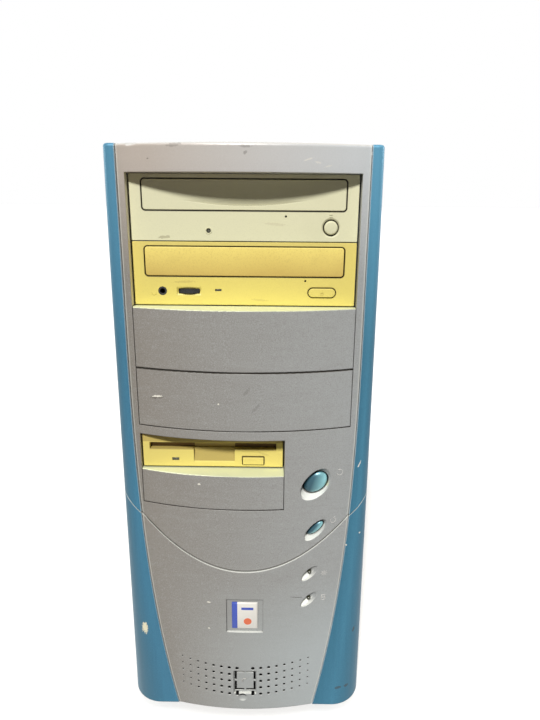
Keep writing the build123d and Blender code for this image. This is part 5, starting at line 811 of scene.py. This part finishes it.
# Painted dark lines of shade round the tray door and the eject key.
dvd_doorway = (0.0, 359.5, 66.45, 10.05, 2.45)
dvd_keyhole = (52.0, 339.35, 9.35, 3.3, 3.3)
dvd_plastic = aged_plastic(
    "dvd_plastic", 330.0, 372.0, (228, 212, 116), (230, 212, 122), dvd_stains, [],
    [dvd_doorway, dvd_keyhole])
dress(dvd_plastic, "dvd_bezel", "dvd_eject_button")
# The door runs from dark tan at the bottom to pale yellow at the top: a painted shade towards the bottom.
dvd_door_plastic = aged_plastic(
    "dvd_door_plastic", 350.0, 369.0, (208, 180, 100), (250, 229, 130), [], [], [dvd_doorway])
dress(dvd_door_plastic, "dvd_tray_door")
bezel_rib = block("dvd_bezel_rib", (-73.0, -198.8, 329.2), (73.0, -196.0, 330.5))
fit(soften(sink_end(bezel_rib, (0, 1, 0), 0.3, 0.5), 0.15, 1), dvd_plastic)
tray_plastic = aged_plastic("tray_plastic", 340.0, 410.0, (196, 190, 170), (206, 201, 182), [])
dress(tray_plastic, "dvd_tray", "cd_tray")
dress(black_plastic, "headphone_jack")

wheel_low, wheel_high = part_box("volume_wheel")
wheel_middle = (wheel_low + wheel_high) / 2
wheel_radius = (wheel_high.x - wheel_low.x) * 500
WHEEL_RIB = 0.35
WHEEL_FLATS = 120
wheel_start = wheel_middle * 1000
wheel_start.z = wheel_low.z * 1000
wheel_width = (wheel_high.z - wheel_low.z) * 1000
ribbed_wheel = bar("ribbed_wheel", "Z", wheel_start, wheel_width, wheel_radius - WHEEL_RIB, WHEEL_FLATS)


def every_second(start, way, flats):
    """Whether a flat that looks one way is an even one of so many, counted round from a start."""
    turned = Vector(start).angle_signed(way, 0.0)
    return round(turned * flats / (2 * pi) - 0.5) % 2 == 0


def on_rib(middle, normal):
    """Every second flat round the rim of the wheel."""
    return abs(normal.z) < 0.1 and every_second((0.0, -1.0), normal.xy, WHEEL_FLATS)


pick(ribbed_wheel, on_rib)
bpy.ops.mesh.inset(thickness=0.00006, depth=WHEEL_RIB / 1000, use_individual=True)
end_edit()
sink_end(ribbed_wheel, (0, 0, 1), 2.0, 0.5)
bpy.ops.object.shade_smooth_by_angle(angle=radians(30))
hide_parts("volume_wheel")
fit(ribbed_wheel, black_plastic, "volume_wheel")


# Marks moulded on the fronts
# Small raised symbols that come out of the mould with the plastic. Those on the drives have the colour
# of their bezel, and those on the silver front are paler than it.
MARK_RISE = 0.25


def arc_mark(place, turn, radius, start, sweep):
    """A raised arc round a place in millimetres on a face turned about the upright, angles in degrees."""
    right = Vector((cos(turn), sin(turn), 0.0))
    up = Vector((0.0, 0.0, 1.0))
    middle = Vector(place) / 1000
    angle = radians(start)
    spot = middle + (right * cos(angle) + up * sin(angle)) * radius / 1000
    heading = up * cos(angle) - right * sin(angle)
    mark = add(
        "arc_mark", bpy.ops.mesh.primitive_circle_add, vertices=8, radius=MARK_RISE / 1000,
        fill_type="NGON", location=spot, rotation=heading.to_track_quat("Z", "Y").to_euler())
    bpy.ops.object.mode_set(mode="EDIT")
    bpy.ops.mesh.select_all(action="SELECT")
    bpy.ops.mesh.spin(steps=28, angle=radians(sweep), center=middle, axis=right.cross(up))
    bpy.ops.mesh.select_all(action="SELECT")
    bpy.ops.mesh.normals_make_consistent(inside=False)
    end_edit(40)
    return mark


def bar_mark(place, turn, lean, length):
    """A raised bar, leaning so many degrees from level, on a face turned about the upright."""
    mark = add(
        "bar_mark", bpy.ops.mesh.primitive_cube_add, size=1.0, location=Vector(place) / 1000,
        rotation=(0.0, -radians(lean), turn), scale=(length / 1000, MARK_RISE / 500, MARK_RISE / 500))
    return soften(mark, MARK_RISE / 2)


def eject_mark(x, y, z):
    """A raised triangle over a bar on a flat front."""
    triangle = add(
        "eject_mark", bpy.ops.mesh.primitive_cylinder_add, vertices=3, radius=0.0013, depth=MARK_RISE / 500,
        location=(x / 1000, y / 1000, z / 1000 + 0.0005), rotation=(pi / 2, 0.0, 0.0))
    return [soften(triangle, MARK_RISE / 3), bar_mark((x, y, z - 1.1), 0.0, 0, 2.4)]


DRIVE_FACE = -201.0
KEY_FACE = -202.2
bezel_marks = [arc_mark((-61.1, DRIVE_FACE, 338.4), 0.0, 1.5, 0, 180)]
bezel_marks += [bar_mark((x, DRIVE_FACE, 337.9), 0.0, 90, 1.3) for x in (-62.6, -59.6)]
fit(join("headphone_mark", bezel_marks), dvd_plastic)
dvd_eject_mark = join("dvd_eject_mark", eject_mark(52.0, KEY_FACE, 339.4))
fit(dvd_eject_mark, dvd_plastic, "dvd_eject_button")


# CD writer front
# A bezel, tray door with a shallow pressed crease and a round eject key, in beige plastic that has
# kept more of its first colour than the drive below.
cd_stains = [
    (-52.7, 375.2, 4.5, 1.0, 6, 0.5, (150, 140, 110)), (20.0, 384.0, 8.0, 1.0, -5, 0.15, BROWN_STAIN),
]
CD_KEY_RADIUS = 4.5
CD_KEY_FLANGE = 2.7
# Painted dark lines of shade round the tray door and the eject key.
cd_doorway = (0.0, 402.1, 66.45, 10.05, 2.45)
cd_keyhole = (56.6, 381.9, 4.9, 4.9, 4.9)
cd_plastic = aged_plastic(
    "cd_plastic", 373.0, 415.0, (231, 229, 192), (226, 223, 190), cd_stains, [], [cd_doorway, cd_keyhole])
dress(cd_plastic, "cd_bezel", "cd_tray_door")
fit(join("cd_eject_mark", eject_mark(56.4, DRIVE_FACE, 390.0)), cd_plastic)
key_low, key_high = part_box("cd_eject_button")
key_start = (key_low + key_high) * 500
key_start.y = key_high.y * 1000
key_cap = bar("round_key", "Y", key_start, (key_low.y - key_high.y) * 1000, CD_KEY_RADIUS, 56)
soften(key_cap, 1.2, 6)
key_flange = bar("key_flange", "Y", key_start, -CD_KEY_FLANGE, (key_high.x - key_low.x) * 500, 56)
round_key = join("round_key", [key_cap, soften(key_flange, 0.3)])
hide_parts("cd_eject_button")
fit(round_key, cd_plastic, "cd_eject_button")


# Drive lamps
# Three small lenses of dark green plastic in the drive fronts, unlit: round and sunk in a pale rim
# on the CD writer, flat bars on the other two.
lamp_lens = mottled(
    "lamp_lens", (66, 66, 44), (42, 44, 30), (700.0, 3.0), (0.3, 0.7, 0.2, 0.35), (0.00003, 0.0004),
    Coat_Weight=0.6, Coat_Roughness=0.15)
CD_LAMP_X = -23.3
CD_LAMP_Z = 379.5
LENS_BACK = -195.0
round_lens = bar("drive_lenses", "Y", (CD_LAMP_X, LENS_BACK, CD_LAMP_Z), -5.0, 1.4, 32)
sink_end(round_lens, (0, -1, 0), 0.35, -0.3)
bar_lens = block("bar_lens", (-19.7, -200.6, 339.8), (-15.5, LENS_BACK, 341.2))
soften(sink_end(bar_lens, (0, -1, 0), 0.25, -0.15), 0.15)
floppy_lens = block("floppy_lens", (-52.9, -204.4, 216.45), (-47.9, -198.4, 218.55))
soften(sink_end(floppy_lens, (0, -1, 0), 0.3, -0.15), 0.15)
drive_lenses = join("drive_lenses", [soften(round_lens, 0.15), bar_lens, floppy_lens])
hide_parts("drive_leds")
fit(drive_lenses, lamp_lens)
rim_place = (CD_LAMP_X, DRIVE_FACE, CD_LAMP_Z)
lamp_rim = hoop("cd_lamp_rim", rim_place, 1.95, 0.3, (pi / 2, 0.0, 0.0), (40, 10))
pick(lamp_rim, lambda middle, normal: normal.y > 0.6)
draw_out((0.0, 0.0004, 0.0))
end_edit(40)
fit(lamp_rim, cd_plastic)


# Silver front
# Upper and lower fascia and the three bay blanks: moulded plastic sprayed with a silver-grey
# paint that has a fine metal grain, nicked down to pale plastic. Painted light makes it warmer and
# darker on the left, lighter at the header, on faces that look up and along the trims; painted shade
# darkens its corners, the seam, the gaps between the blanks and the walls of its holes.
def outward(finish, axis):
    """How far the surface looks along an axis, from -1 to 1."""
    return one_axis(add_node(finish, "NewGeometry", {}).outputs["Normal"], axis)


def facing(finish, axis, low, high):
    """0 to 1 as the surface turns to look along an axis."""
    return spread(outward(finish, axis), low, high)


def sprayed_plastic(name, left, right, streak, rubbed):
    """Sprayed moulding: two tones across the width as painted light, metal grain, rubbed streaks and
    handling haze.
    """
    finish = new_finish(name, Metallic=0.12, Specular_IOR_Level=0.25)
    fleck = cloud(finish, 1700.0, 2.0)
    haze = cloud(finish, 11.0, 4.0)
    rub = cloud(finish, 300.0, 3.0, streak)
    # The change from the left tone to the right one across the width is painted light.
    side = sums("ADD", spread(along(finish, "X"), -0.085, 0.085), spread(haze, 0, 1, -0.15, 0.15))
    colour = coats(
        blend(side, left, right),
        (spread(fleck, 0.5, 0.75, 0.0, 0.4), right + (1.3,)),
        (spread(fleck, 0.5, 0.25, 0.0, 0.4), left + (0.75,)),
        (spread(rub, 0.55, 0.8, 0.0, rubbed), right + (1.25,)),
        (spread(rub, 0.45, 0.2, 0.0, rubbed), left + (0.78,)),
        (spread(haze, 0.62, 0.8, 0.0, 0.18), left + (0.8,)))
    connect(finish, Roughness=spread(haze, 0.3, 0.7, 0.36, 0.48), Normal=relief(fleck, 0.00003, 0.0009))
    return finish, colour


BARE_PLASTIC = (232, 228, 216)
DIRT = (70, 62, 54)
BOW_RADIUS = 245.0
FACE_FRONT = -220.0
UPPER_STEP = 1.2
SEAM_LOW = 0.133
SEAM_SPREAD = 0.142
SILVER_HALF = 0.08
TAPER_TOP = 0.311
TAPER_FOOT = 0.005
DISH_REACH = (0.2432, 0.2424)
HOLE_REACH = (0.2448, 0.2445)
silver_marks = [
    (-60.4, 267.4, 5.2, 1.1, 8, 0.6, DIRT), (-60.2, 268.0, 4.4, 0.8, 8, 1.0, BARE_PLASTIC),
    (-17.3, 265.1, 0.8, 0.7, 0, 1.0, BARE_PLASTIC), (1.8, 274.1, 4.0, 1.2, 50, 0.2, DIRT),
    (8.5, 262.7, 4.6, 1.2, 50, 0.2, DIRT), (-32.1, 203.7, 1.3, 0.9, 0, 0.9, BARE_PLASTIC),
    (-27.1, 105.3, 2.0, 0.6, 0, 1.0, BARE_PLASTIC), (-27.7, 81.5, 0.8, 0.7, 0, 0.9, BARE_PLASTIC),
    (39.5, 109.3, 5.5, 0.4, -8, 0.6, DIRT), (-41.8, 431.0, 5.0, 1.2, 5, 0.3, DIRT),
    (2.4, 430.0, 4.0, 0.8, 0, 0.3, DIRT), (1.8, 426.6, 1.6, 1.0, 40, 0.4, DIRT),
    (-58.7, 423.3, 0.7, 0.5, 0, 0.5, DIRT), (40.4, 423.2, 3.2, 0.5, 20, 0.5, BARE_PLASTIC),
    (46.0, 421.4, 2.4, 0.6, -10, 0.4, BARE_PLASTIC), (52.8, 419.4, 3.0, 0.5, 15, 0.4, BARE_PLASTIC),
]


def inside_trim(finish):
    """How far a place lies from the middle, and how far the edge of the silver front does at its height."""
    sweep = spread(along(finish, "Z"), TAPER_TOP, TAPER_FOOT)
    drawn_in = both(sums("POWER", sweep, 2.0), spread(sweep, 0.0, 1.0, 0.009, 0.0262))
    return sums("ABSOLUTE", along(finish, "X"), 0.0), sums("SUBTRACT", SILVER_HALF, drawn_in)


silver_paint, silver_colour = sprayed_plastic(
    "silver_paint", (136, 130, 122), (166, 169, 169), (0.12, 1.0, 1.0), 0.12)
silver_x = along(silver_paint, "X")
silver_y = along(silver_paint, "Y")
silver_z = along(silver_paint, "Z")
across = spread(silver_x, -0.06, 0.07)
# Painted light: the header is painted lighter towards its top, and the lower front cooler and lighter on
# the right.
header_light = spread(silver_z, 0.35, 0.424, 0.0, 0.7)
header_light_colour = blend(across, (200, 188, 177), (220, 224, 226))
lower_right_light = both(across, spread(silver_z, 0.13, 0.06, 0.0, 0.75))
bow_middle = (BOW_RADIUS + FACE_FRONT) / 1000
bow_reach = size_of(placed(silver_paint, Location=(0.0, -bow_middle, 0.0), Scale=(1.0, 1.0, 0.0)))
# Faces that look up and the lower walls of the dishes are painted pale: bare plastic and painted light from
# the lamp above; under the drive bays the pale takes a painted reflection of the yellow drives.
dish_wall = both(spread(bow_reach, *DISH_REACH), facing(silver_paint, "Z", 0.05, 0.3))
bare_lit_ledge = either(dish_wall, facing(silver_paint, "Z", 0.35, 0.75))
under_bays = either(zone(silver_paint, "Z", 200.0, 214.0), zone(silver_paint, "Z", 325.0, 332.0))
lit_ledge_colour = blend(under_bays, (232, 233, 226), (226, 231, 194))
lit_ledge_colour = blend(zone(silver_paint, "Z", 418.0, 440.0), lit_ledge_colour, (212, 210, 205))
# The inner walls of the left bay posts are painted pale cream: bare plastic and painted light on walls that
# stand in shade.
pale_bay_wall = either(
    window(silver_paint, -79.0, -73.0, 330.0, 418.0), window(silver_paint, -79.0, -73.0, 211.0, 240.0))
pale_bay_wall = both(pale_bay_wall, facing(silver_paint, "X", 0.5, 0.8))
silver_half, silver_edge = inside_trim(silver_paint)
from_trim = sums("SUBTRACT", silver_edge, silver_half)
# The silver is painted pale along the trims: rubbed paint and painted light that offsets the shade at the
# step to the trim.
rubbed_lit_edge = spread(from_trim, 0.0014, 0.0006, 0.0, 0.45)
# Painted shade in corners and gaps, kept off the silver next to the trims.
silver_corner_shade = both(corner_shade(silver_paint, 0.002, 0.75), spread(from_trim, 0.002, 0.004))
# Painted shade: a dark line on the upper fascia just over its seam with the lower one.
seam = sums("ADD", both(sums("POWER", silver_x, 2.0), 1 / SEAM_SPREAD), SEAM_LOW)
off_seam = sums("SUBTRACT", silver_z, seam)
seam_shade = both(spread(off_seam, 0.0011, 0.0004, 0.0, 0.7), spread(off_seam, 0.0, 0.0001))
# Painted shade: the ledges in the gaps between the blanks and under the DVD reader are painted dark.
blank_gap = zone(silver_paint, "Z", 183.0, 184.9)
for gap_low, gap_high in ((244.0, 246.0), (286.4, 288.4)):
    blank_gap = either(blank_gap, zone(silver_paint, "Z", gap_low, gap_high))
under_drive = both(spread(silver_y, -0.2018, -0.2012), zone(silver_paint, "Z", 329.0, 330.4))
gap_shade = both(either(blank_gap, under_drive), facing(silver_paint, "Z", 0.3, 0.6))
# Painted shade: the walls of the vent holes and of the slots round the knock-out plate are painted near
# black.
vent_area = window(silver_paint, -66.0, 66.0, 17.6, 66.0)
plate_area = window(silver_paint, -9.1, 9.1, 20.2, 42.4)
vent_hole_shade = sums("SUBTRACT", spread(bow_reach, *HOLE_REACH), plate_area)
vent_hole_shade = sums("MULTIPLY", vent_area, vent_hole_shade, use_clamp=True)
plate_slot_shade = both(plate_area, spread(silver_y, -0.2176, -0.2173))
silver_colour = coats(
    silver_colour, (header_light, header_light_colour), (lower_right_light, (182, 190, 191)), (bare_lit_ledge, lit_ledge_colour),
    (pale_bay_wall, (236, 230, 212)), (rubbed_lit_edge, (226, 224, 216)), (silver_corner_shade, (56, 52, 46)),
    (seam_shade, (74, 70, 64)), (gap_shade, (70, 66, 60)), (either(vent_hole_shade, plate_slot_shade), (24, 24, 25)))
connect(silver_paint, Base_Color=nicks(silver_paint, silver_colour, silver_marks))
dress(silver_paint, "upper_fascia", "lower_fascia")
dress(silver_paint, "upper_bay_blank", "lower_bay_blank", "floppy_bay_blank")


def on_bow(x, z, step):
    """The place on the bowed front at x and z in millimetres, and how far the front is turned there."""
    reach = BOW_RADIUS - step
    return (x, FACE_FRONT + BOW_RADIUS - sqrt(reach**2 - x**2), z), asin(x / reach)


def beside(place, turn, right, up):
    """A place shifted along the turned front, in millimetres, and how far the front is turned there."""
    return (place[0] + right * cos(turn), place[1] + right * sin(turn), place[2] + up), turn


power_spot = on_bow(68.7, 210.5, UPPER_STEP)
reset_spot = on_bow(65.1, 171.9, UPPER_STEP)
lit_spot = on_bow(59.8, 128.1, 0.0)
disk_spot = on_bow(59.8, 106.6, 0.0)
plate_spot = on_bow(0.0, 33.0, 0.0)
front_marks = [
    arc_mark(*power_spot, 2.2, 125, 290), bar_mark(*beside(*power_spot, 0.0, 1.7), 90, 2.4),
    arc_mark(*reset_spot, 2.0, 70, 280), bar_mark(*beside(*reset_spot, 0.9, 2.4), 40, 1.6),
    arc_mark(*lit_spot, 1.0, 0, 355),
]
for lean in (0, 45, 90, 135):
    for side in (-2.0, 2.0):
        ray_spot = beside(*lit_spot, side * cos(radians(lean)), side * sin(radians(lean)))
        front_marks.append(bar_mark(*ray_spot, lean, 0.9))
front_marks += [bar_mark(*beside(*disk_spot, 0.0, up), 0, 2.6) for up in (-2.2, 0.0, 2.2)]
front_marks += [bar_mark(*beside(*disk_spot, right, 0.0), 90, 4.4) for right in (-1.4, 1.4)]
front_marks.append(arc_mark(*plate_spot, 2.2, 200, 140))
# The marks on the silver are painted paler than it.
pale_mark_paint, pale_mark_colour = sprayed_plastic(
    "pale_mark_paint", (200, 195, 186), (212, 211, 208), (0.12, 1.0, 1.0), 0.1)
connect(pale_mark_paint, Base_Color=pale_mark_colour)
fit(join("front_marks", front_marks), pale_mark_paint)


# Badge
# A thin plate stuck in a shallow recess of the lower fascia, with a clear domed skin over a plain print
# of a blue strip, a blue bar and an orange disc.
badge_low, badge_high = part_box("badge_plate")
badge = block("badge_label", badge_low * 1000, badge_high * 1000)
sink_end(badge, (0, -1, 0), 0.7, -0.3)
soften(badge, 0.25, 3)
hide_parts("badge_plate")
PRINT_BLUE = (44, 74, 176)
badge_print = new_finish("badge_print", Coat_Weight=0.5, Coat_Roughness=0.12)
badge_age = cloud(badge_print, 60.0, 4.0)
badge_colour = coats(
    blend(badge_age, (240, 238, 232), (222, 218, 208)),
    (window(badge_print, -9.8, -5.6, 80.0, 108.0), PRINT_BLUE),
    (window(badge_print, -2.6, 6.6, 99.2, 101.4), PRINT_BLUE),
    (spread(oval(badge_print, 2.2, 88.8, 3.0, 3.0), 1.02, 0.98), (228, 108, 62)))
cover(badge_print, badge_colour, (badge_age, 0.3, 0.7, 0.3, 0.45), (badge_age, 0.00004, 0.0004))
fit(badge, badge_print)


# Front lamps
# Two domed lenses in pointed hollows of the lower fascia, dark while the machine is off.
dress(lamp_lens, "indicator_leds")


# Front keys and switches
# Power and reset caps of glossy dark teal plastic in slanted oval dishes, each pressing a small
# black switch behind the front.
teal_cap = new_finish("teal_cap", Metallic=0.55, Coat_Weight=0.5, Coat_Roughness=0.3)
cap_grain = cloud(teal_cap, 900.0, 3.0)
cap_haze = cloud(teal_cap, 120.0, 3.0)
# Painted highlight on the side of each cap that looks right, painted shade round its steep rim and in its
# corners.
cap_colour = coats(
    blend(cap_haze, (28, 70, 84), (38, 84, 98)), (facing(teal_cap, "X", -0.15, 0.45), (142, 200, 206)),
    (facing(teal_cap, "Y", -0.72, -0.4), (18, 42, 50)), (corner_shade(teal_cap, 0.0015, 0.6), (24, 40, 46)))
cover(teal_cap, cap_colour, (cap_haze, 0.3, 0.7, 0.3, 0.42), (cap_grain, 0.00003, 0.0006))
CAP_TILT = radians(43.0)
CAP_SKIRT = 5.0


def domed_cap(name, node, half_long, half_short, rise, body):
    """A slanted oval cap with a domed front and a straight skirt, where the flat one of the frame is."""
    low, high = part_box(node)
    rim = Vector(((low.x + high.x) / 2, low.y + rise / 1000, (low.z + high.z) / 2))
    long_way = Vector((cos(CAP_TILT), 0.0, sin(CAP_TILT)))
    short_way = Vector((-sin(CAP_TILT), 0.0, cos(CAP_TILT)))
    lie = Matrix((long_way, short_way, Vector((0.0, -1.0, 0.0)))).transposed()
    cap = add(
        name, bpy.ops.mesh.primitive_uv_sphere_add, segments=56, ring_count=28, radius=1.0, location=rim,
        rotation=lie.to_euler(), scale=(half_long / 1000, half_short / 1000, rise / 1000))
    bpy.ops.object.mode_set(mode="EDIT")
    bpy.ops.mesh.select_all(action="SELECT")
    bpy.ops.mesh.bisect(plane_co=rim, plane_no=(0.0, 1.0, 0.0), clear_outer=True, use_fill=True)
    end_edit()
    pick(cap, lambda middle, normal: normal.y > 0.9)
    draw_out((0.0, CAP_SKIRT / 1000, 0.0))
    end_edit(50)
    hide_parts(node)
    return fit(cap, teal_cap, body)


domed_cap("power_cap", "power_button", 10.0, 7.2, 3.8, "power_button")
domed_cap("reset_cap", "reset_button", 7.7, 3.2, 2.8, "reset_button")
dress(black_plastic, "front_switches")


# Blue trims
# Four mouldings that wrap the front corners, sprayed metallic blue, scratched white and chipped to
# cream plastic where they stand out furthest. Painted shade and highlight run across each trim, its
# top is painted lighter and its inner edge pale as painted light, and its ledges cream, bare plastic
# with painted light.
CREAM_PLASTIC = (226, 220, 190)
trim_marks = [
    (82.7, 216.3, 3.6, 0.5, 70, 0.9, BARE_PLASTIC), (86.0, 159.4, 0.8, 0.8, 0, 0.9, BARE_PLASTIC),
    (76.0, 150.2, 0.8, 0.7, 0, 0.9, BARE_PLASTIC), (85.4, 73.2, 3.0, 0.9, 75, 0.7, DIRT),
    (74.5, 21.0, 3.0, 1.4, 10, 0.6, DIRT), (81.3, 20.9, 2.2, 1.4, 0, 0.6, DIRT),
    (-79.3, 74.0, 2.6, 5.6, 0, 1.0, CREAM_PLASTIC),
]
TRIM_HALF = 0.091
blue_paint, blue_colour = sprayed_plastic(
    "blue_paint", (66, 120, 148), (70, 127, 153), (1.0, 1.0, 0.03), 0.4)
blue_side = along(blue_paint, "X")
half_x, inner_x = inside_trim(blue_paint)
from_inner = sums("DIVIDE", sums("SUBTRACT", half_x, inner_x), sums("SUBTRACT", TRIM_HALF, inner_x))
on_right = zone(blue_paint, "X", 0.0, 200.0)
# Painted shade across each trim: the left ones darker towards their outer edge, the right ones darker at
# both edges with a painted highlight between.
left_trim_shade = both(spread(from_inner, 0.25, 0.8, 0.0, 0.75), sums("SUBTRACT", 1.0, on_right))
right_trim_shade = either(spread(from_inner, 0.42, 0.0, 0.0, 0.45), spread(from_inner, 0.45, 1.0, 0.0, 0.7))
# Painted light: the trims are painted lighter towards their top, most on the right.
blue_top_light = both(spread(along(blue_paint, "Z"), 0.3, 0.43), spread(blue_side, -0.01, 0.01, 0.35, 0.65))
# Painted light: the inner edge of each trim, where it steps down to the silver, is painted pale.
blue_across = outward(blue_paint, "X")
inner_wall = spread(both(blue_across, blue_side), -0.03, -0.05)
rounded = one_axis(soft_edge(blue_paint, 0.001), "X")
turned_in = both(sums("SUBTRACT", rounded, blue_across), blue_side)
lit_inner_edge = either(inner_wall, spread(turned_in, -0.008, -0.022, 0.0, 0.5))
# Faces that look up below the top are painted cream: bare plastic and painted light from the lamp above.
lit_trim_ledge = both(facing(blue_paint, "Z", 0.5, 0.8), zone(blue_paint, "Z", 0.0, 400.0))
blue_colour = coats(
    blue_colour, (left_trim_shade, (58, 94, 110)), (both(right_trim_shade, on_right), (38, 86, 108)),
    (blue_top_light, (108, 172, 204)), (lit_inner_edge, (214, 224, 228)), (lit_trim_ledge, CREAM_PLASTIC))
connect(blue_paint, Base_Color=nicks(blue_paint, blue_colour, trim_marks))
dress(blue_paint, "upper_left_trim", "upper_right_trim", "lower_left_trim", "lower_right_trim")


# Side panels
# Two folded steel sheets and the top sheet between them, powder-coated a warm light grey with a fine
# pebbled skin. The sides slide off backwards once two knurled screws at the back of each are out.
panel_paint = new_finish("panel_paint")
panel_pebble = cloud(panel_paint, 700.0, 3.0)
panel_haze = cloud(panel_paint, 9.0, 5.0)
panel_scuff = spread(cloud(panel_paint, 60.0, 5.0, (1.0, 0.08, 1.0)), 0.62, 0.74, 0.0, 0.15)
# Painted shade darkens the corners of the panels.
panel_colour = coats(
    blend(panel_haze, (202, 199, 190), (190, 186, 176)), (panel_scuff, (150, 146, 138)),
    (corner_shade(panel_paint, 0.004, 0.4), (110, 102, 90)))
cover(panel_paint, panel_colour, (panel_pebble, 0.3, 0.7, 0.45, 0.62), (panel_pebble, 0.00008, 0.0006))
dress(panel_paint, "left_side_panel", "right_side_panel", "chassis_top")
THUMB_RADIUS = 3.7
THUMB_KNURL = 0.28
THUMB_FLATS = 48
THUMB_HEAD = 6.0
THUMB_INSET = 4.0
SLOT_HALF = 0.45
SLOT_DEEP = 0.9


def thumb_screws(name, node, body):
    """Two knurled screws with a cross slot, where the plain ones of the frame are."""
    low, high = (corner * 1000 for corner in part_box(node))
    middle_x, base_z, head_y = (low.x + high.x) / 2, low.z + THUMB_INSET, high.y - THUMB_HEAD
    head = bar(name, "Y", (middle_x, head_y, base_z), 5.9, THUMB_RADIUS, THUMB_FLATS)
    sink_end(head, (0, 1, 0), 0.7, 0.5)
    centre = Vector((middle_x, high.y, base_z)) / 1000

    def on_floor(middle, normal):
        """The sunk floor of the head."""
        return normal.y > 0.9 and middle.y < (high.y - 0.4) / 1000

    def on_slot(middle, normal):
        """The two arms of the slot, once the floor is cut along them."""
        off_arms = min(abs(middle.x - centre.x), abs(middle.z - centre.z))
        return on_floor(middle, normal) and off_arms < SLOT_HALF / 1000

    def on_knurl(middle, normal):
        """Every second flat round the rim of the head."""
        on_rim = abs(normal.y) < 0.1 and (middle - centre).xz.length > 0.9 * THUMB_RADIUS / 1000
        return on_rim and every_second((1.0, 0.0), normal.xz, THUMB_FLATS)

    for axis in (Vector((1, 0, 0)), Vector((0, 0, 1))):
        for side in (-SLOT_HALF, SLOT_HALF):
            pick(head, on_floor)
            bpy.ops.mesh.bisect(plane_co=centre + axis * side / 1000, plane_no=axis)
            end_edit()
    pick(head, on_slot)
    draw_out((0.0, -SLOT_DEEP / 1000, 0.0))
    end_edit()
    pick(head, on_knurl)
    bpy.ops.mesh.inset(thickness=0.0001, depth=THUMB_KNURL / 1000, use_individual=True)
    end_edit()
    shank = soften(bar("shank", "Y", (middle_x, low.y, base_z), head_y - low.y + 0.2, 1.7, 20), 0.3)
    screws = repeat(join(name, [head, shank]), [(0.0, 0.0, high.z - low.z - 2 * THUMB_INSET)])
    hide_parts(node)
    return fit(screws, steel_screw, body)


thumb_screws("left_thumb_screws", "left_panel_screws", "left_panel")
thumb_screws("right_thumb_screws", "right_panel_screws", "right_panel")


# Floor, light and camera
# A pale studio floor, one lamp high in front and slightly left, two wide ones low at the sides, weak
# sky light, and the camera where the photograph was taken from.
FLOOR_WIDE = 60.0
FLOOR_DROP = 0.0005
floor = add(
    "studio_floor", bpy.ops.mesh.primitive_plane_add, size=FLOOR_WIDE, location=(0.0, 0.0, -FLOOR_DROP))
pale_floor = new_finish("pale_floor", Roughness=0.9)
rays = add_node(pale_floor, "LightPath", {})
seen = either(rays.outputs["Is Camera Ray"], rays.outputs["Is Glossy Ray"])
seen = either(seen, rays.outputs["Is Transmission Ray"])
connect(pale_floor, Base_Color=blend(seen, (62, 53, 46), (254, 254, 254)))
floor.data.materials.append(pale_floor)

SKY_FRONT = 0.04
SKY_BEHIND = 0.6
world = bpy.data.worlds.new("studio_sky")
bpy.context.scene.world = world
world.use_nodes = True
rays = add_node(world, "LightPath", {})
bounced = either(rays.outputs["Is Glossy Ray"], rays.outputs["Is Transmission Ray"])
seen = sums("ADD", rays.outputs["Is Camera Ray"], bounced, use_clamp=True)
heading = add_node(world, "TexCoord", {}).outputs["Generated"]
fill = spread(one_axis(heading, "Y"), -0.5, 0.5, SKY_FRONT, SKY_BEHIND)
sky = world.node_tree.nodes["Background"]
sky.inputs["Color"].default_value = (1.0, 1.0, 1.0, 1.0)
world.node_tree.links.new(spread(seen, 0.0, 1.0, fill, 1.0), sky.inputs["Strength"])

LAMP_AWAY = 3.0
LAMP_COLOUR = (1.0, 0.99, 0.97)
LAMPS = (
    ("key_lamp", (-0.12, -0.70, 0.69), 3.7, 8.0), ("left_lamp", (-0.96, 0.25, 0.12), 1.6, 40.0),
    ("right_lamp", (0.96, 0.25, 0.12), 1.6, 40.0),
)
for lamp_name, lamp_from, lamp_energy, lamp_width in LAMPS:
    lamp_data = bpy.data.lights.new(lamp_name, "SUN")
    lamp_data.angle = radians(lamp_width)
    lamp_data.energy = lamp_energy
    lamp_data.color = LAMP_COLOUR
    lamp = bpy.data.objects.new(lamp_name, lamp_data)
    lamp.location = Vector(lamp_from) * LAMP_AWAY
    lamp.rotation_euler = (-Vector(lamp_from)).to_track_quat("-Z", "Y").to_euler()
    bpy.context.scene.collection.objects.link(lamp)

camera_data = bpy.data.cameras.new("photo_camera")
camera_data.lens = 28.0
camera_data.sensor_width = 36.0
camera = bpy.data.objects.new("photo_camera", camera_data)
camera.location = (0.0213, -0.5760, 0.3995)
turn = Euler((radians(74.0), 0.0, radians(0.57))).to_matrix() @ Matrix.Rotation(radians(0.45), 3, "Z")
camera.rotation_euler = turn.to_euler()
bpy.context.scene.collection.objects.link(camera)
bpy.context.scene.camera = camera
bpy.context.scene.view_settings.view_transform = "Standard"
